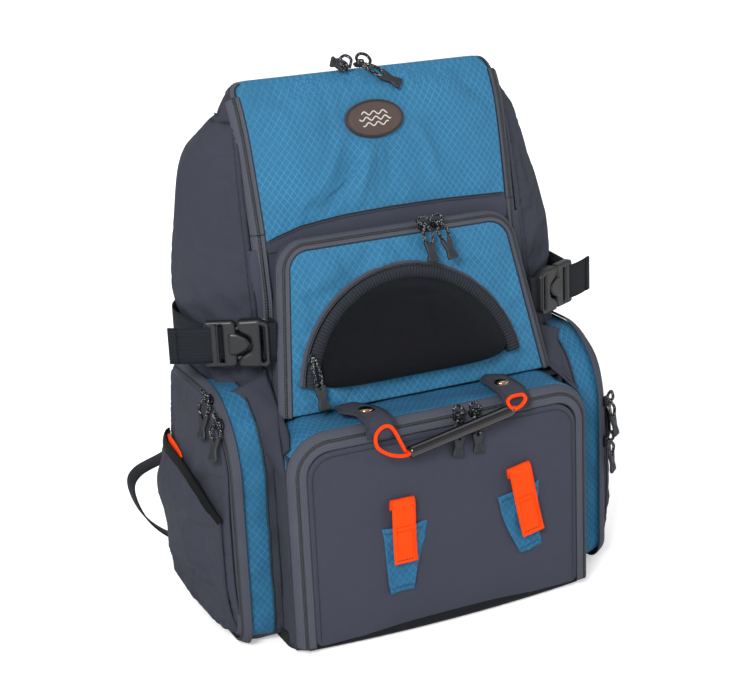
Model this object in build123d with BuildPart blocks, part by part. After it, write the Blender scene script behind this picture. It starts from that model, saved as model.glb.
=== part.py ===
"""Tackle backpack: an assembly of sewn panels, zips, straps, buckles and a moulded case.

Millimetres. +Z is up, the front of the pack looks along -Y, and the origin is on the floor
under the middle of the base. Every soft panel is a plain closed solid of the right size.
"""

import os
from math import cos, radians, sin

from build123d import *

os.makedirs("parts", exist_ok=True)

# ---------------------------------------------------------------- driving dimensions
CLOTH = 3.0  # padded cloth wall
GAP = 0.3  # air between neighbouring pieces
TAPE = 8.0  # visible width of one zip tape
HALF_WIDTH = 165.0  # lower compartment, outside
FRONT_Y = -122.0  # outer face of the tackle flap
BACK_Y = 104.0  # inner face of the back panel

# lower (tackle) compartment
TACKLE_TOP = 226.0
TACKLE_CORNER = 38.0
TACKLE_TAPE = 16.0
MOUTH_Y = FRONT_Y + 4.0  # front edge of the body's zip tape
GUSSET_Y = MOUTH_Y + 20.0  # where the tape ends and the gusset begins
SHELF_BACK_Y = -72.0  # crease between the shelf and the upper pocket
FLAP_SILL = 12.0  # height of the tackle flap's fold line

# upper compartment: the front skin from its foot to the crown, as (y, z)
SKIN_FOOT = (-38.0, 229.0)
SKIN_FOLD = (-12.0, 397.0)
SKIN_CHEST = (6.0, 480.0)
SKIN_BROW = (19.0, 515.0)
CROWN = (34.0, 537.0)
TOP_BACK = (BACK_Y - 0.3, 476.0)
TOP_RISE = (TOP_BACK[1] - CROWN[1]) / (TOP_BACK[0] - CROWN[0])
FLAP_HALF = 139.0  # half width of the main flap with its tape
CROWN_CORNER = 22.0

# upper front pocket, on a plane that leans back
POCKET_FOOT_HALF = 147.0
POCKET_HEAD_HALF = 124.0
POCKET_HEAD = 390.0
POCKET_CORNER = 28.0
DOOR_LEAN = 13.7  # degrees
DOOR_THICK = 3.0

# moulded glasses case
CASE_X = -6.0  # the case sits a little left of the middle
CASE_HALF = 119.0
CASE_HEIGHT = 104.0
CASE_BINDING = 15.0
CASE_DEPTH = 44.0
CASE_FOOT = 26.0  # above the door's fold line, along the door
EVA = 3.0

# side pockets, right-hand one; the left one is its mirror image
SIDE_FRONT, SIDE_REAR = -80.0, 95.0
SIDE_FOOT, SIDE_HEAD = 6.0, 255.0
SIDE_BROW = 75.0  # radius of the top front corner
SIDE_CORNER = 22.0
SIDE_GUSSET_OUT = 198.0
SIDE_DOOR_IN = 207.0
SIDE_DOOR_OUT = 230.0
BOTTLE_OUT = 241.0

# webbing, buckles and small parts
WEBBING = 38.0
WEB_THICK = 1.8
BUCKLE_Z = 302.0
BUCKLE_MOUTH = (176.0, -34.0)  # plan position of the right buckle's parting line
BUCKLE_LIE = 27.5  # degrees that the strap turns back from straight across
BUCKLE_HALF = 23.0
TAB_X = 75.0
TUBE_LENGTH = 115.0
TUBE_RADIUS = 5.5
CORD_RADIUS = 1.7
STRAP_WEB = 25.0


def front_plane(y=0.0):
    """A sketch plane seen from the front: local x is +X, local y is +Z, extrusions go to -Y."""
    return Plane(origin=(0, y, 0), x_dir=(1, 0, 0), z_dir=(0, -1, 0))


def side_plane(x=0.0):
    """A sketch plane seen from the right: local x is +Y, local y is +Z, extrusions go to +X."""
    return Plane(origin=(x, 0, 0), x_dir=(0, 1, 0), z_dir=(1, 0, 0))


def write(builder, label):
    """Labels a finished piece and writes it as parts/<label>.step."""
    builder.part.label = label
    export_step(builder.part, f"parts/{label}.step")


def write_mirrored(builder, label):
    """Writes the piece reflected to the other side of the pack."""
    with BuildPart() as other:
        add(mirror(builder.part, about=Plane.YZ))
    write(other, label)


def write_pair(builder, label):
    """Writes the piece and its mirror image as two solids of one node."""
    with BuildPart() as pair:
        add(builder.part)
        add(mirror(builder.part, about=Plane.YZ))
    write(pair, label)


def arch_face(half_foot, half_head, foot, head, radius, inset=0.0):
    """Front view of a panel: flat foot, leaning sides, rounded top corners, shrunk by inset."""
    with BuildSketch(mode=Mode.PRIVATE) as face:
        with BuildLine():
            Polyline(
                (-half_foot + inset, foot),
                (half_foot - inset, foot),
                (half_head - inset, head - inset),
                (-half_head + inset, head - inset),
                close=True,
            )
        make_face()
        fillet(face.vertices().group_by(Axis.Y)[-1], radius - inset)
    return face.sketch


def cloth_strip(points, thickness=CLOTH):
    """Side view of a strip of cloth that lies to the right of a line of points."""
    points = [Vector(*p) for p in points]
    steps = [(b - a).normalized() for a, b in zip(points, points[1:])]
    before, after = [steps[0]] + steps, steps + [steps[-1]]
    inner = []
    for point, step_in, step_out in zip(points, before, after):
        normal_in = Vector(step_in.Y, -step_in.X)
        normal_out = Vector(step_out.Y, -step_out.X)
        mitre = (normal_in + normal_out).normalized()
        inner.append(point + mitre * (thickness / mitre.dot(normal_in)))
    with BuildSketch(mode=Mode.PRIVATE) as strip:
        with BuildLine():
            Polyline(*points, *reversed(inner), close=True)
        make_face()
    return strip.sketch


# ---------------------------------------------------------------- lower compartment


def tackle_face(inset=0.0):
    return arch_face(HALF_WIDTH, HALF_WIDTH, 0.0, TACKLE_TOP, TACKLE_CORNER, inset)


def lower_compartment():
    depth = BACK_Y - GUSSET_Y
    middle = (BACK_Y + GUSSET_Y) / 2
    with BuildPart() as base:
        with BuildSketch():
            with Locations((0, middle - 5)):
                RectangleRounded(2 * HALF_WIDTH, depth + 10, 20)
        extrude(amount=4)
        with BuildSketch():
            with Locations((0, FRONT_Y + 11.5)):
                Rectangle(2 * HALF_WIDTH - 20, 5)
        extrude(amount=FLAP_SILL)
        with BuildSketch(side_plane()):
            with Locations((FRONT_Y + 10, FLAP_SILL)):
                Circle(5)
        extrude(amount=HALF_WIDTH - 10, both=True)
    write(base, "base_panel")

    with BuildPart() as wall:
        with BuildSketch(side_plane(HALF_WIDTH - CLOTH)):
            with BuildLine():
                shoulder = TACKLE_TOP - TACKLE_CORNER
                Polyline(
                    (GUSSET_Y, 4 + GAP),
                    (BACK_Y - GAP, 4 + GAP),
                    (BACK_Y - GAP, TACKLE_TOP),
                    (SHELF_BACK_Y + GAP, TACKLE_TOP),
                    (SHELF_BACK_Y + GAP, shoulder),
                    (GUSSET_Y, shoulder),
                    close=True,
                )
            make_face()
        extrude(amount=CLOTH)
    write_pair(wall, "tackle_side_walls")

    with BuildPart() as shelf:
        with BuildSketch(front_plane(SHELF_BACK_Y)):
            add(tackle_face())
            add(tackle_face(CLOTH), mode=Mode.SUBTRACT)
            with Locations((0, (TACKLE_TOP - TACKLE_CORNER) / 2)):
                Rectangle(3 * HALF_WIDTH, TACKLE_TOP - TACKLE_CORNER + GAP, mode=Mode.SUBTRACT)
        extrude(amount=SHELF_BACK_Y - GUSSET_Y - GAP)
    write(shelf, "shelf_panel")

    with BuildPart() as divider:
        with BuildSketch(Plane.XY.offset(TACKLE_TOP - 2 * CLOTH)):
            with Locations((0, (SHELF_BACK_Y + BACK_Y - 4) / 2)):
                Rectangle(2 * (HALF_WIDTH - CLOTH - GAP), BACK_Y - 4 - SHELF_BACK_Y - 2 * GAP)
        extrude(amount=CLOTH)
    write(divider, "compartment_divider")


def tackle_flap():
    with BuildPart() as panel:
        with BuildSketch(front_plane(MOUTH_Y - GAP)):
            add(tackle_face(2 + TACKLE_TAPE + GAP))
            with Locations((0, FLAP_SILL / 2)):
                Rectangle(3 * HALF_WIDTH, FLAP_SILL + 2, mode=Mode.SUBTRACT)
        extrude(amount=MOUTH_Y - GAP - FRONT_Y)
    write(panel, "tackle_flap_panel")

    with BuildPart() as tape:
        with BuildSketch(front_plane(MOUTH_Y - GAP)):
            add(tackle_face(2))
            add(tackle_face(2 + TACKLE_TAPE), mode=Mode.SUBTRACT)
            with Locations((0, FLAP_SILL / 2)):
                Rectangle(3 * HALF_WIDTH, FLAP_SILL + 2, mode=Mode.SUBTRACT)
        extrude(amount=MOUTH_Y - GAP - FRONT_Y - 1)
    write(tape, "tackle_flap_zip_tape")


def tool_holders():
    """Two tapered cloth sleeves on the tackle flap, and the folded orange tab over each of them."""
    sleeve_thick = 3.0
    half_foot, half_head, half_height = 11, 24, 35
    with BuildSketch(mode=Mode.PRIVATE) as taper:
        Polygon(
            (-half_foot, -half_height),
            (half_foot, -half_height),
            (half_head, half_height),
            (-half_head, half_height),
        )
    sleeve = taper.sketch
    holders = {  # sleeve middle, tab middle, tab length, lean in degrees
        "left": ((-52, 82), (-52, 112), 66, 0),
        "right": ((85, 93), (85, 115), 76, 11),
    }
    with BuildPart() as sleeves:
        for sleeve_middle, _, _, lean in holders.values():
            with BuildSketch(front_plane(FRONT_Y - GAP)):
                with Locations(Location(sleeve_middle, lean)):
                    add(sleeve)
            extrude(amount=sleeve_thick)
    write(sleeves, "tool_sleeves")
    for side, (_, tab_middle, length, lean) in holders.items():
        with BuildPart() as strap:
            with BuildSketch(front_plane(FRONT_Y - sleeve_thick - 2 * GAP)):
                with Locations(Location(tab_middle, lean)):
                    Rectangle(STRAP_WEB, length)
            extrude(amount=WEB_THICK)
            with BuildSketch(front_plane(FRONT_Y - GAP)):
                with Locations(Location(tab_middle, lean)):
                    with Locations((0, length / 2 - 6)):
                        Rectangle(STRAP_WEB, 6)
            extrude(amount=sleeve_thick + GAP)
        write(strap, f"tool_tab_{side}")


def handle():
    """Snap tabs over the tackle zip, and the tube that hangs from them on a loop of cord."""
    tab_under = TACKLE_TOP + 2.5
    tab_top = tab_under + CLOTH
    tab_end_y, tab_end_z = FRONT_Y - 9, tab_under - 9
    with BuildPart() as tab:
        with BuildSketch(side_plane(TAB_X - 14)):
            add(cloth_strip([(tab_end_y, tab_end_z + CLOTH), (FRONT_Y + 2, tab_top), (-84, tab_top)]))
        extrude(amount=28)
    write_pair(tab, "handle_tabs")

    snap_y = -101.0
    with BuildPart() as stud:
        with BuildSketch(Plane.XY.offset(TACKLE_TOP + 0.1)):
            with Locations((TAB_X, snap_y)):
                Circle(5)
        extrude(amount=2.2)
    write_pair(stud, "snap_studs")
    with BuildPart() as cap:
        with BuildSketch(Plane.XY.offset(tab_under + CLOTH + 0.1)):
            with Locations((TAB_X, snap_y)):
                Circle(8)
        extrude(amount=2.6)
        fillet(cap.edges().group_by(Axis.Z)[-1], 1.8)
    write_pair(cap, "snap_caps")

    tube_y = FRONT_Y - 13.0
    tube_left = Vector(-46, tube_y, 196)
    tube_slope = 10.8
    along = Vector(cos(radians(tube_slope)), 0, sin(radians(tube_slope)))
    with BuildPart() as tube:
        with BuildSketch(Plane(origin=tube_left, z_dir=along)):
            Circle(TUBE_RADIUS)
            Circle(TUBE_RADIUS - 1.5, mode=Mode.SUBTRACT)
        extrude(amount=TUBE_LENGTH)
        chamfer(tube.edges().filter_by(GeomType.CIRCLE), 0.4)
    write(tube, "handle_tube")

    right_end = tube_left + along * TUBE_LENGTH
    strand = Vector(0, CORD_RADIUS + 0.15, 0)
    loop_y, loop_z = tab_end_y - 3.5, tab_end_z - 1
    bends = [
        tube_left - strand - along * 3,
        Vector(-TAB_X - 11, loop_y, loop_z),
        Vector(-TAB_X + 11, loop_y, loop_z),
        tube_left + strand - along * 3,
        right_end + strand + along * 3,
        Vector(TAB_X - 2, loop_y, loop_z),
        Vector(TAB_X + 11, loop_y, loop_z),
        right_end - strand + along * 3,
    ]
    with BuildPart() as cord:
        for start, end in zip(bends, bends[1:] + bends[:1]):
            with BuildSketch(Plane(origin=start, z_dir=end - start)):
                Circle(CORD_RADIUS)
            extrude(amount=(end - start).length)
            with Locations(end):
                Sphere(CORD_RADIUS)
    write(cord, "handle_cord")


# ---------------------------------------------------------------- upper compartment


def front_and_top():
    with BuildPart() as front:
        with BuildSketch(side_plane()):
            add(cloth_strip([SKIN_FOOT, (SKIN_FOLD[0], SKIN_FOLD[1] - 1)]))
        extrude(amount=FLAP_HALF, both=True)
    write(front, "front_panel")

    inner = FLAP_HALF - TAPE - GAP
    head = CROWN[1] - TAPE - GAP
    skin = [(SKIN_FOLD[0], SKIN_FOLD[1] + 1), SKIN_CHEST, SKIN_BROW, CROWN]
    with BuildPart() as flap:
        with BuildSketch(side_plane()):
            add(cloth_strip(skin))
        extrude(amount=inner, both=True)
        with BuildSketch(front_plane(80)):
            add(arch_face(inner, inner - 2, 300, head, CROWN_CORNER - TAPE))
        extrude(amount=200, mode=Mode.INTERSECT)
    write(flap, "main_flap_panel")

    with BuildPart() as tape:
        with BuildSketch(side_plane()):
            add(cloth_strip(skin))
        extrude(amount=FLAP_HALF, both=True)
        with BuildSketch(front_plane(80)):
            add(arch_face(FLAP_HALF, FLAP_HALF - 2, 300, CROWN[1], CROWN_CORNER))
            hole = arch_face(inner + GAP, inner - 2 + GAP, 290, head + GAP, CROWN_CORNER - TAPE)
            add(hole, mode=Mode.SUBTRACT)
        extrude(amount=200, mode=Mode.INTERSECT)
    write(tape, "main_flap_zip_tape")

    with BuildPart() as top:
        start = CROWN[0] + CLOTH + GAP + TAPE + 1
        with BuildSketch(side_plane()):
            add(cloth_strip([(start, CROWN[1] + TOP_RISE * (start - CROWN[0])), TOP_BACK]))
        extrude(amount=FLAP_HALF - 4, both=True)
    write(top, "top_panel")

    with BuildPart() as badge:
        face = Plane(
            origin=(-3, SKIN_CHEST[0] + 3.8, 493),
            x_dir=(1, 0, 0),
            z_dir=(0, -cos(radians(20)), sin(radians(20))),
        )
        with BuildSketch(face):
            Ellipse(31.5, 19.5)
        extrude(amount=1.6)
        fillet(badge.faces().sort_by(Axis.Y)[0].edges(), 0.7)
        with BuildSketch(face.offset(1.6)):
            Ellipse(28.5, 16.8)
            Ellipse(27.7, 16.0, mode=Mode.SUBTRACT)
        extrude(amount=-0.5, mode=Mode.SUBTRACT)
    write(badge, "badge")


def side_panel():
    """One bulging side of the upper compartment, as a ruled loft through arc-shaped slices."""
    slices = [  # height, front half width, front y, widest half width, its y, rear half width, rear y
        (TACKLE_TOP + GAP, 152, -36, 184, 26, 160, BACK_Y - GAP),
        (290, 149, -25, 205, 24, 154, BACK_Y - GAP),
        (350, 148, -15, 203, 26, 152, BACK_Y - GAP),
        (430, 147, 0, 189, 30, 150, BACK_Y - GAP),
        (475, 146, 9, 175, 38, 143, BACK_Y - GAP),
        (510, 144, 22, 157, 42, 138, 64),
        (528, 140, 31, 146, 37, 137, 44),
    ]
    with BuildPart() as wing:
        for z, front_x, front_y, wide_x, wide_y, rear_x, rear_y in slices:
            with BuildSketch(Plane.XY.offset(z)):
                with BuildLine():
                    outer = ThreePointArc((front_x, front_y), (wide_x, wide_y), (rear_x, rear_y))
                    centre = outer.arc_center
                    through = (outer @ 0, outer @ 0.5, outer @ 1)
                    inner = [p + (centre - p).normalized() * CLOTH for p in through]
                    ThreePointArc(*inner)
                    Line(outer @ 0, inner[0])
                    Line(outer @ 1, inner[2])
                make_face()
        loft(ruled=True)
    write_pair(wing, "side_panels")


def zip_tapes_on_body():
    """The halves of the five zips that stay on the pack."""
    with BuildPart() as tapes:
        with BuildSketch(front_plane(GUSSET_Y - GAP)):
            add(tackle_face())
            add(tackle_face(CLOTH), mode=Mode.SUBTRACT)
            Rectangle(3 * HALF_WIDTH, 2 * (FLAP_SILL + 1), mode=Mode.SUBTRACT)
        extrude(amount=GUSSET_Y - GAP - MOUTH_Y)
        start = (CROWN[0] + CLOTH + GAP, CROWN[1] + TOP_RISE * (CLOTH + GAP))
        with BuildSketch(side_plane()):
            add(cloth_strip([start, (start[0] + TAPE, start[1] + TOP_RISE * TAPE)]))
        extrude(amount=FLAP_HALF - 6, both=True)
    with BuildPart() as main_sides:
        foot = (SKIN_FOOT[0], SKIN_FOOT[1] + 1)
        head = (CROWN[0] - 8, CROWN[1] - 12)
        with BuildSketch(side_plane()):
            add(cloth_strip([foot, SKIN_FOLD, SKIN_CHEST, SKIN_BROW, head], 2.0))
        extrude(amount=FLAP_HALF + TAPE - 1, both=True)
        with BuildSketch(side_plane()):
            Rectangle(400, 1200)
        extrude(amount=FLAP_HALF + GAP, both=True, mode=Mode.SUBTRACT)
    with BuildPart() as side_arch:
        with BuildSketch(side_plane(SIDE_GUSSET_OUT + GAP)):
            add(side_face())
            add(side_face(CLOTH), mode=Mode.SUBTRACT)
            with Locations((SIDE_REAR, SIDE_FOOT)):
                Rectangle(120, 60, mode=Mode.SUBTRACT)
                Rectangle(60, 600, mode=Mode.SUBTRACT)
        extrude(amount=SIDE_DOOR_IN - SIDE_GUSSET_OUT - 2 * GAP)
    with BuildPart() as pocket_arch:
        add(pocket_ring(TAPE + DOOR_THICK, DOOR_THICK + GAP))
    with BuildPart() as everything:
        add(tapes.part)
        add(main_sides.part)
        add(pocket_arch.part)
        add(side_arch.part)
        add(mirror(side_arch.part, about=Plane.YZ))
    write(everything, "body_zip_tapes")


# ---------------------------------------------------------------- upper pocket and case


def door_plane(out=0.0):
    """The pocket door's outer face, with local x across, local y up the door, z outwards."""
    lean = radians(DOOR_LEAN)
    foot = Plane(
        origin=(0, SHELF_BACK_Y, SKIN_FOOT[1]), x_dir=(1, 0, 0), z_dir=(0, -cos(lean), sin(lean))
    )
    return foot.offset(out)


def pocket_face(inset=0.0):
    height = (POCKET_HEAD - SKIN_FOOT[1]) / cos(radians(DOOR_LEAN))
    return arch_face(POCKET_FOOT_HALF, POCKET_HEAD_HALF, 1.0, height, POCKET_CORNER, inset)


def pocket_ring(deep, shallow):
    """An arch of cloth round the pocket, between two depths behind the door's face."""
    with BuildPart(mode=Mode.PRIVATE) as ring:
        with BuildSketch(door_plane(-deep)):
            add(pocket_face())
            add(pocket_face(CLOTH), mode=Mode.SUBTRACT)
            Rectangle(3 * HALF_WIDTH, 3, mode=Mode.SUBTRACT)
        extrude(amount=deep - shallow)
    return ring.part


def upper_pocket():
    with BuildPart() as gusset:
        add(pocket_ring(46, TAPE + DOOR_THICK + GAP))
        lean_y = SKIN_FOLD[0] - SKIN_FOOT[0]
        lean_z = SKIN_FOLD[1] - SKIN_FOOT[1]
        with BuildSketch(side_plane()):
            with BuildLine():
                Polyline(
                    (SKIN_FOOT[0] - GAP, SKIN_FOOT[1]),
                    (SKIN_FOOT[0] - GAP + lean_y, SKIN_FOOT[1] + lean_z),
                    (-120, SKIN_FOOT[1] + lean_z),
                    (-120, SKIN_FOOT[1]),
                    close=True,
                )
            make_face()
        extrude(amount=200, both=True, mode=Mode.INTERSECT)
    write(gusset, "pocket_gusset")

    with BuildPart() as door:
        with BuildSketch(door_plane(-DOOR_THICK)):
            add(pocket_face(TAPE + GAP))
        extrude(amount=DOOR_THICK)
    write(door, "pocket_door_panel")
    with BuildPart() as tape:
        with BuildSketch(door_plane(-DOOR_THICK)):
            add(pocket_face())
            add(pocket_face(TAPE), mode=Mode.SUBTRACT)
            Rectangle(3 * HALF_WIDTH, 3, mode=Mode.SUBTRACT)
        extrude(amount=DOOR_THICK)
    write(tape, "pocket_door_zip_tape")


def case_face(half, height):
    """A half moon that stands on its straight edge."""
    with BuildSketch(mode=Mode.PRIVATE) as moon:
        with BuildLine():
            foot = Line((CASE_X - half, CASE_FOOT), (CASE_X + half, CASE_FOOT))
            ThreePointArc(foot @ 1, (CASE_X, CASE_FOOT + height), foot @ 0)
        make_face()
    return moon.sketch


def glasses_case():
    """A base on the pocket door with its own floor, and a domed lid that folds down."""
    dome = (CASE_HALF - CASE_BINDING, CASE_HEIGHT - CASE_BINDING)
    brow = (dome[0] - 20, dome[1] - 16)
    lid_in = EVA + GAP
    with BuildPart() as base:
        with BuildSketch(door_plane(GAP)):
            add(case_face(CASE_HALF - 1, CASE_HEIGHT - 1))
        extrude(amount=EVA - GAP)
        with BuildSketch(door_plane(EVA)):
            with Locations((CASE_X, CASE_FOOT + EVA / 2)):
                Rectangle(2 * brow[0], EVA)
        extrude(amount=CASE_DEPTH - EVA)
    write(base, "case_base")

    with BuildPart() as lid:
        with BuildSketch(door_plane(lid_in)):
            add(case_face(*dome))
        with BuildSketch(door_plane(CASE_DEPTH)):
            add(case_face(*brow))
        loft()
        fillet(lid.faces().sort_by(Axis.Y)[0].edges().filter_by(GeomType.LINE, reverse=True), 9)
        with BuildSketch(door_plane(lid_in - 1)):
            add(case_face(dome[0] - EVA, dome[1] - EVA))
        with BuildSketch(door_plane(CASE_DEPTH - EVA)):
            add(case_face(brow[0] - EVA, brow[1] - EVA))
        loft(mode=Mode.SUBTRACT)
        with BuildSketch(door_plane(-2)):
            with Locations((0, CASE_FOOT)):
                Rectangle(4 * CASE_HALF, 2 * (EVA + GAP))
        extrude(amount=CASE_DEPTH + 20, mode=Mode.SUBTRACT)
    write(lid, "case_lid_shell")

    with BuildPart() as binding:
        with BuildSketch(door_plane(lid_in)):
            add(case_face(CASE_HALF, CASE_HEIGHT))
            add(case_face(dome[0] + GAP, dome[1] + GAP), mode=Mode.SUBTRACT)
            with Locations((0, CASE_FOOT)):
                Rectangle(4 * CASE_HALF, 2 * (EVA + GAP), mode=Mode.SUBTRACT)
        extrude(amount=4)
    write(binding, "case_zip_tape")


# ---------------------------------------------------------------- side pockets


def side_face(inset=0.0):
    """Side view of a side pocket: a big round corner at the top front, small ones elsewhere."""
    front, rear = SIDE_FRONT + inset, SIDE_REAR - inset
    foot, head = SIDE_FOOT + inset, SIDE_HEAD - inset
    with BuildSketch(mode=Mode.PRIVATE) as face:
        with BuildLine():
            Polyline((front, foot), (rear, foot), (rear, head), (front, head), close=True)
        make_face()
        corners = face.vertices().sort_by(Axis.X)
        brow = corners[:2].sort_by(Axis.Y)[-1]
        others = [v for v in corners if v is not brow]
        fillet(brow, SIDE_BROW - inset)
        keep = [v for v in face.vertices() if any((v.center() - o.center()).length < 0.1 for o in others)]
        fillet(keep, max(SIDE_CORNER - inset, 4))
    return face.sketch


def bottle_face(inset):
    """Side view of a bottle pocket before its slanting mouth is cut."""
    with BuildSketch(mode=Mode.PRIVATE) as face:
        with BuildLine():
            Polyline(
                (-66 + inset, 10 + inset),
                (91 - inset, 10 + inset),
                (91 - inset, 230),
                (-66 + inset, 230),
                close=True,
            )
        make_face()
    return face.sketch


def side_pocket():
    with BuildPart() as gusset:
        with BuildSketch(side_plane(HALF_WIDTH + GAP)):
            add(side_face())
            add(side_face(CLOTH), mode=Mode.SUBTRACT)
        extrude(amount=SIDE_GUSSET_OUT - HALF_WIDTH - GAP)
        with BuildSketch(Plane.XY.offset(TACKLE_TOP)):
            with Locations((HALF_WIDTH - 20, 0)):
                Rectangle(100, 400)
        extrude(amount=60, mode=Mode.SUBTRACT)
    write_pair(gusset, "side_pocket_gussets")

    with BuildPart() as door:
        with BuildSketch(side_plane(SIDE_DOOR_IN)):
            add(side_face())
        with BuildSketch(side_plane(SIDE_DOOR_OUT)):
            add(side_face(24))
        loft()
        with BuildSketch(side_plane(SIDE_DOOR_IN - 1)):
            add(side_face(CLOTH))
        with BuildSketch(side_plane(SIDE_DOOR_OUT - CLOTH)):
            add(side_face(24 + CLOTH))
        loft(mode=Mode.SUBTRACT)
    write(door, "right_door_panel")
    write_mirrored(door, "left_door_panel")

    with BuildPart() as bottle:
        with BuildSketch(side_plane(SIDE_DOOR_IN + 4)):
            add(bottle_face(0))
        with BuildSketch(side_plane(BOTTLE_OUT)):
            add(bottle_face(14))
        loft()
        with BuildSketch(side_plane(SIDE_DOOR_IN + 3)):
            add(bottle_face(CLOTH))
        with BuildSketch(side_plane(BOTTLE_OUT - CLOTH)):
            add(bottle_face(14 + CLOTH))
        loft(mode=Mode.SUBTRACT)
        with BuildSketch(side_plane(SIDE_DOOR_IN - 2)):
            with BuildLine():
                Polyline((-90, 138), (100, 186), (100, 300), (-90, 300), close=True)
            make_face()
        extrude(amount=60, mode=Mode.SUBTRACT)
        with BuildSketch(side_plane(SIDE_DOOR_IN - GAP)):
            add(side_face(-GAP))
        with BuildSketch(side_plane(SIDE_DOOR_OUT + GAP)):
            add(side_face(24 - GAP))
        loft(mode=Mode.SUBTRACT)
    write(bottle, "right_bottle_pocket")
    write_mirrored(bottle, "left_bottle_pocket")


# ---------------------------------------------------------------- compression straps


def buckle_plane(out=0.0):
    """The right buckle's middle plane: local x runs back along the strap, local z outwards."""
    lie = radians(BUCKLE_LIE)
    middle = Plane(
        origin=(*BUCKLE_MOUTH, BUCKLE_Z), x_dir=(cos(lie), sin(lie), 0), z_dir=(sin(lie), -cos(lie), 0)
    )
    return middle.offset(out)


def on_strap(along, out):
    """Plan position of a point given along the right strap and outwards from the buckle."""
    point = buckle_plane().from_local_coords(Vector(along, 0, out))
    return (point.X, point.Y)


def buckle():
    with BuildPart() as female:
        with BuildSketch(buckle_plane(-6)):
            with Locations((-15, 0)):
                RectangleRounded(30, 2 * BUCKLE_HALF, 4)
        extrude(amount=12)
        fillet(female.edges().filter_by(Axis.Z), 2.5)
        with BuildSketch(buckle_plane(-3.4)):
            with Locations((-9, 0)):
                Rectangle(22, 35)
        extrude(amount=6.8, mode=Mode.SUBTRACT)
        with BuildSketch(buckle_plane(-3.4)):
            with Locations((-10, 0)):
                Rectangle(11, 4 * BUCKLE_HALF)
        extrude(amount=6.8, mode=Mode.SUBTRACT)
    write_pair(female, "buckle_females")

    with BuildPart() as male:
        with BuildSketch(buckle_plane(-4.5)):
            with Locations((15, 0)):
                RectangleRounded(29, 2 * BUCKLE_HALF - 1, 4)
            with Locations((12, 0), (22, 0)):
                Rectangle(5, WEBBING + 1, mode=Mode.SUBTRACT)
        extrude(amount=9)
        with BuildSketch(buckle_plane(-2.6)):
            with Locations((-8, 14), (-8, -14)):
                Rectangle(20, 4.5)
            with Locations((-6, 0)):
                Rectangle(16, 6)
            with Locations((-12, 15), (-12, -15)):
                RectangleRounded(7, 4.6, 1.5)
        extrude(amount=5.2)
    write(male, "right_buckle_male")
    write_mirrored(male, "left_buckle_male")

    tail_line = [on_strap(4, 5.2), on_strap(44, 5.2), on_strap(66, 1.5)]
    with BuildPart() as tail:
        with BuildSketch(Plane.XY.offset(BUCKLE_Z - WEBBING / 2)):
            add(cloth_strip(tail_line, WEB_THICK))
        extrude(amount=WEBBING)
    write(tail, "right_strap_tail")
    write_mirrored(tail, "left_strap_tail")


def compression_webbing():
    """Webbing sewn into the back seam, laid round the side, plus the short front anchor."""
    bulge_x, bulge_y, bulge_radius = 143.2, 40.2, 69.5
    round_side = []
    for angle in (-10, 5, 20, 35, 50, 62):
        x = bulge_x + bulge_radius * cos(radians(angle))
        y = bulge_y + bulge_radius * sin(radians(angle))
        round_side.append((x, y))
    with BuildPart() as webbing:
        with BuildSketch(Plane.XY.offset(BUCKLE_Z - WEBBING / 2)):
            add(cloth_strip([on_strap(5, -5.2), on_strap(33, -5.2), *round_side], -WEB_THICK))
        extrude(amount=WEBBING)
        with BuildSketch(Plane.XY.offset(BUCKLE_Z - WEBBING / 2)):
            add(cloth_strip([(143, -32), (143, -51), on_strap(-30.8, 0)], WEB_THICK))
        extrude(amount=WEBBING)
    write_pair(webbing, "compression_webbing")


# ---------------------------------------------------------------- back and harness


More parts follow.
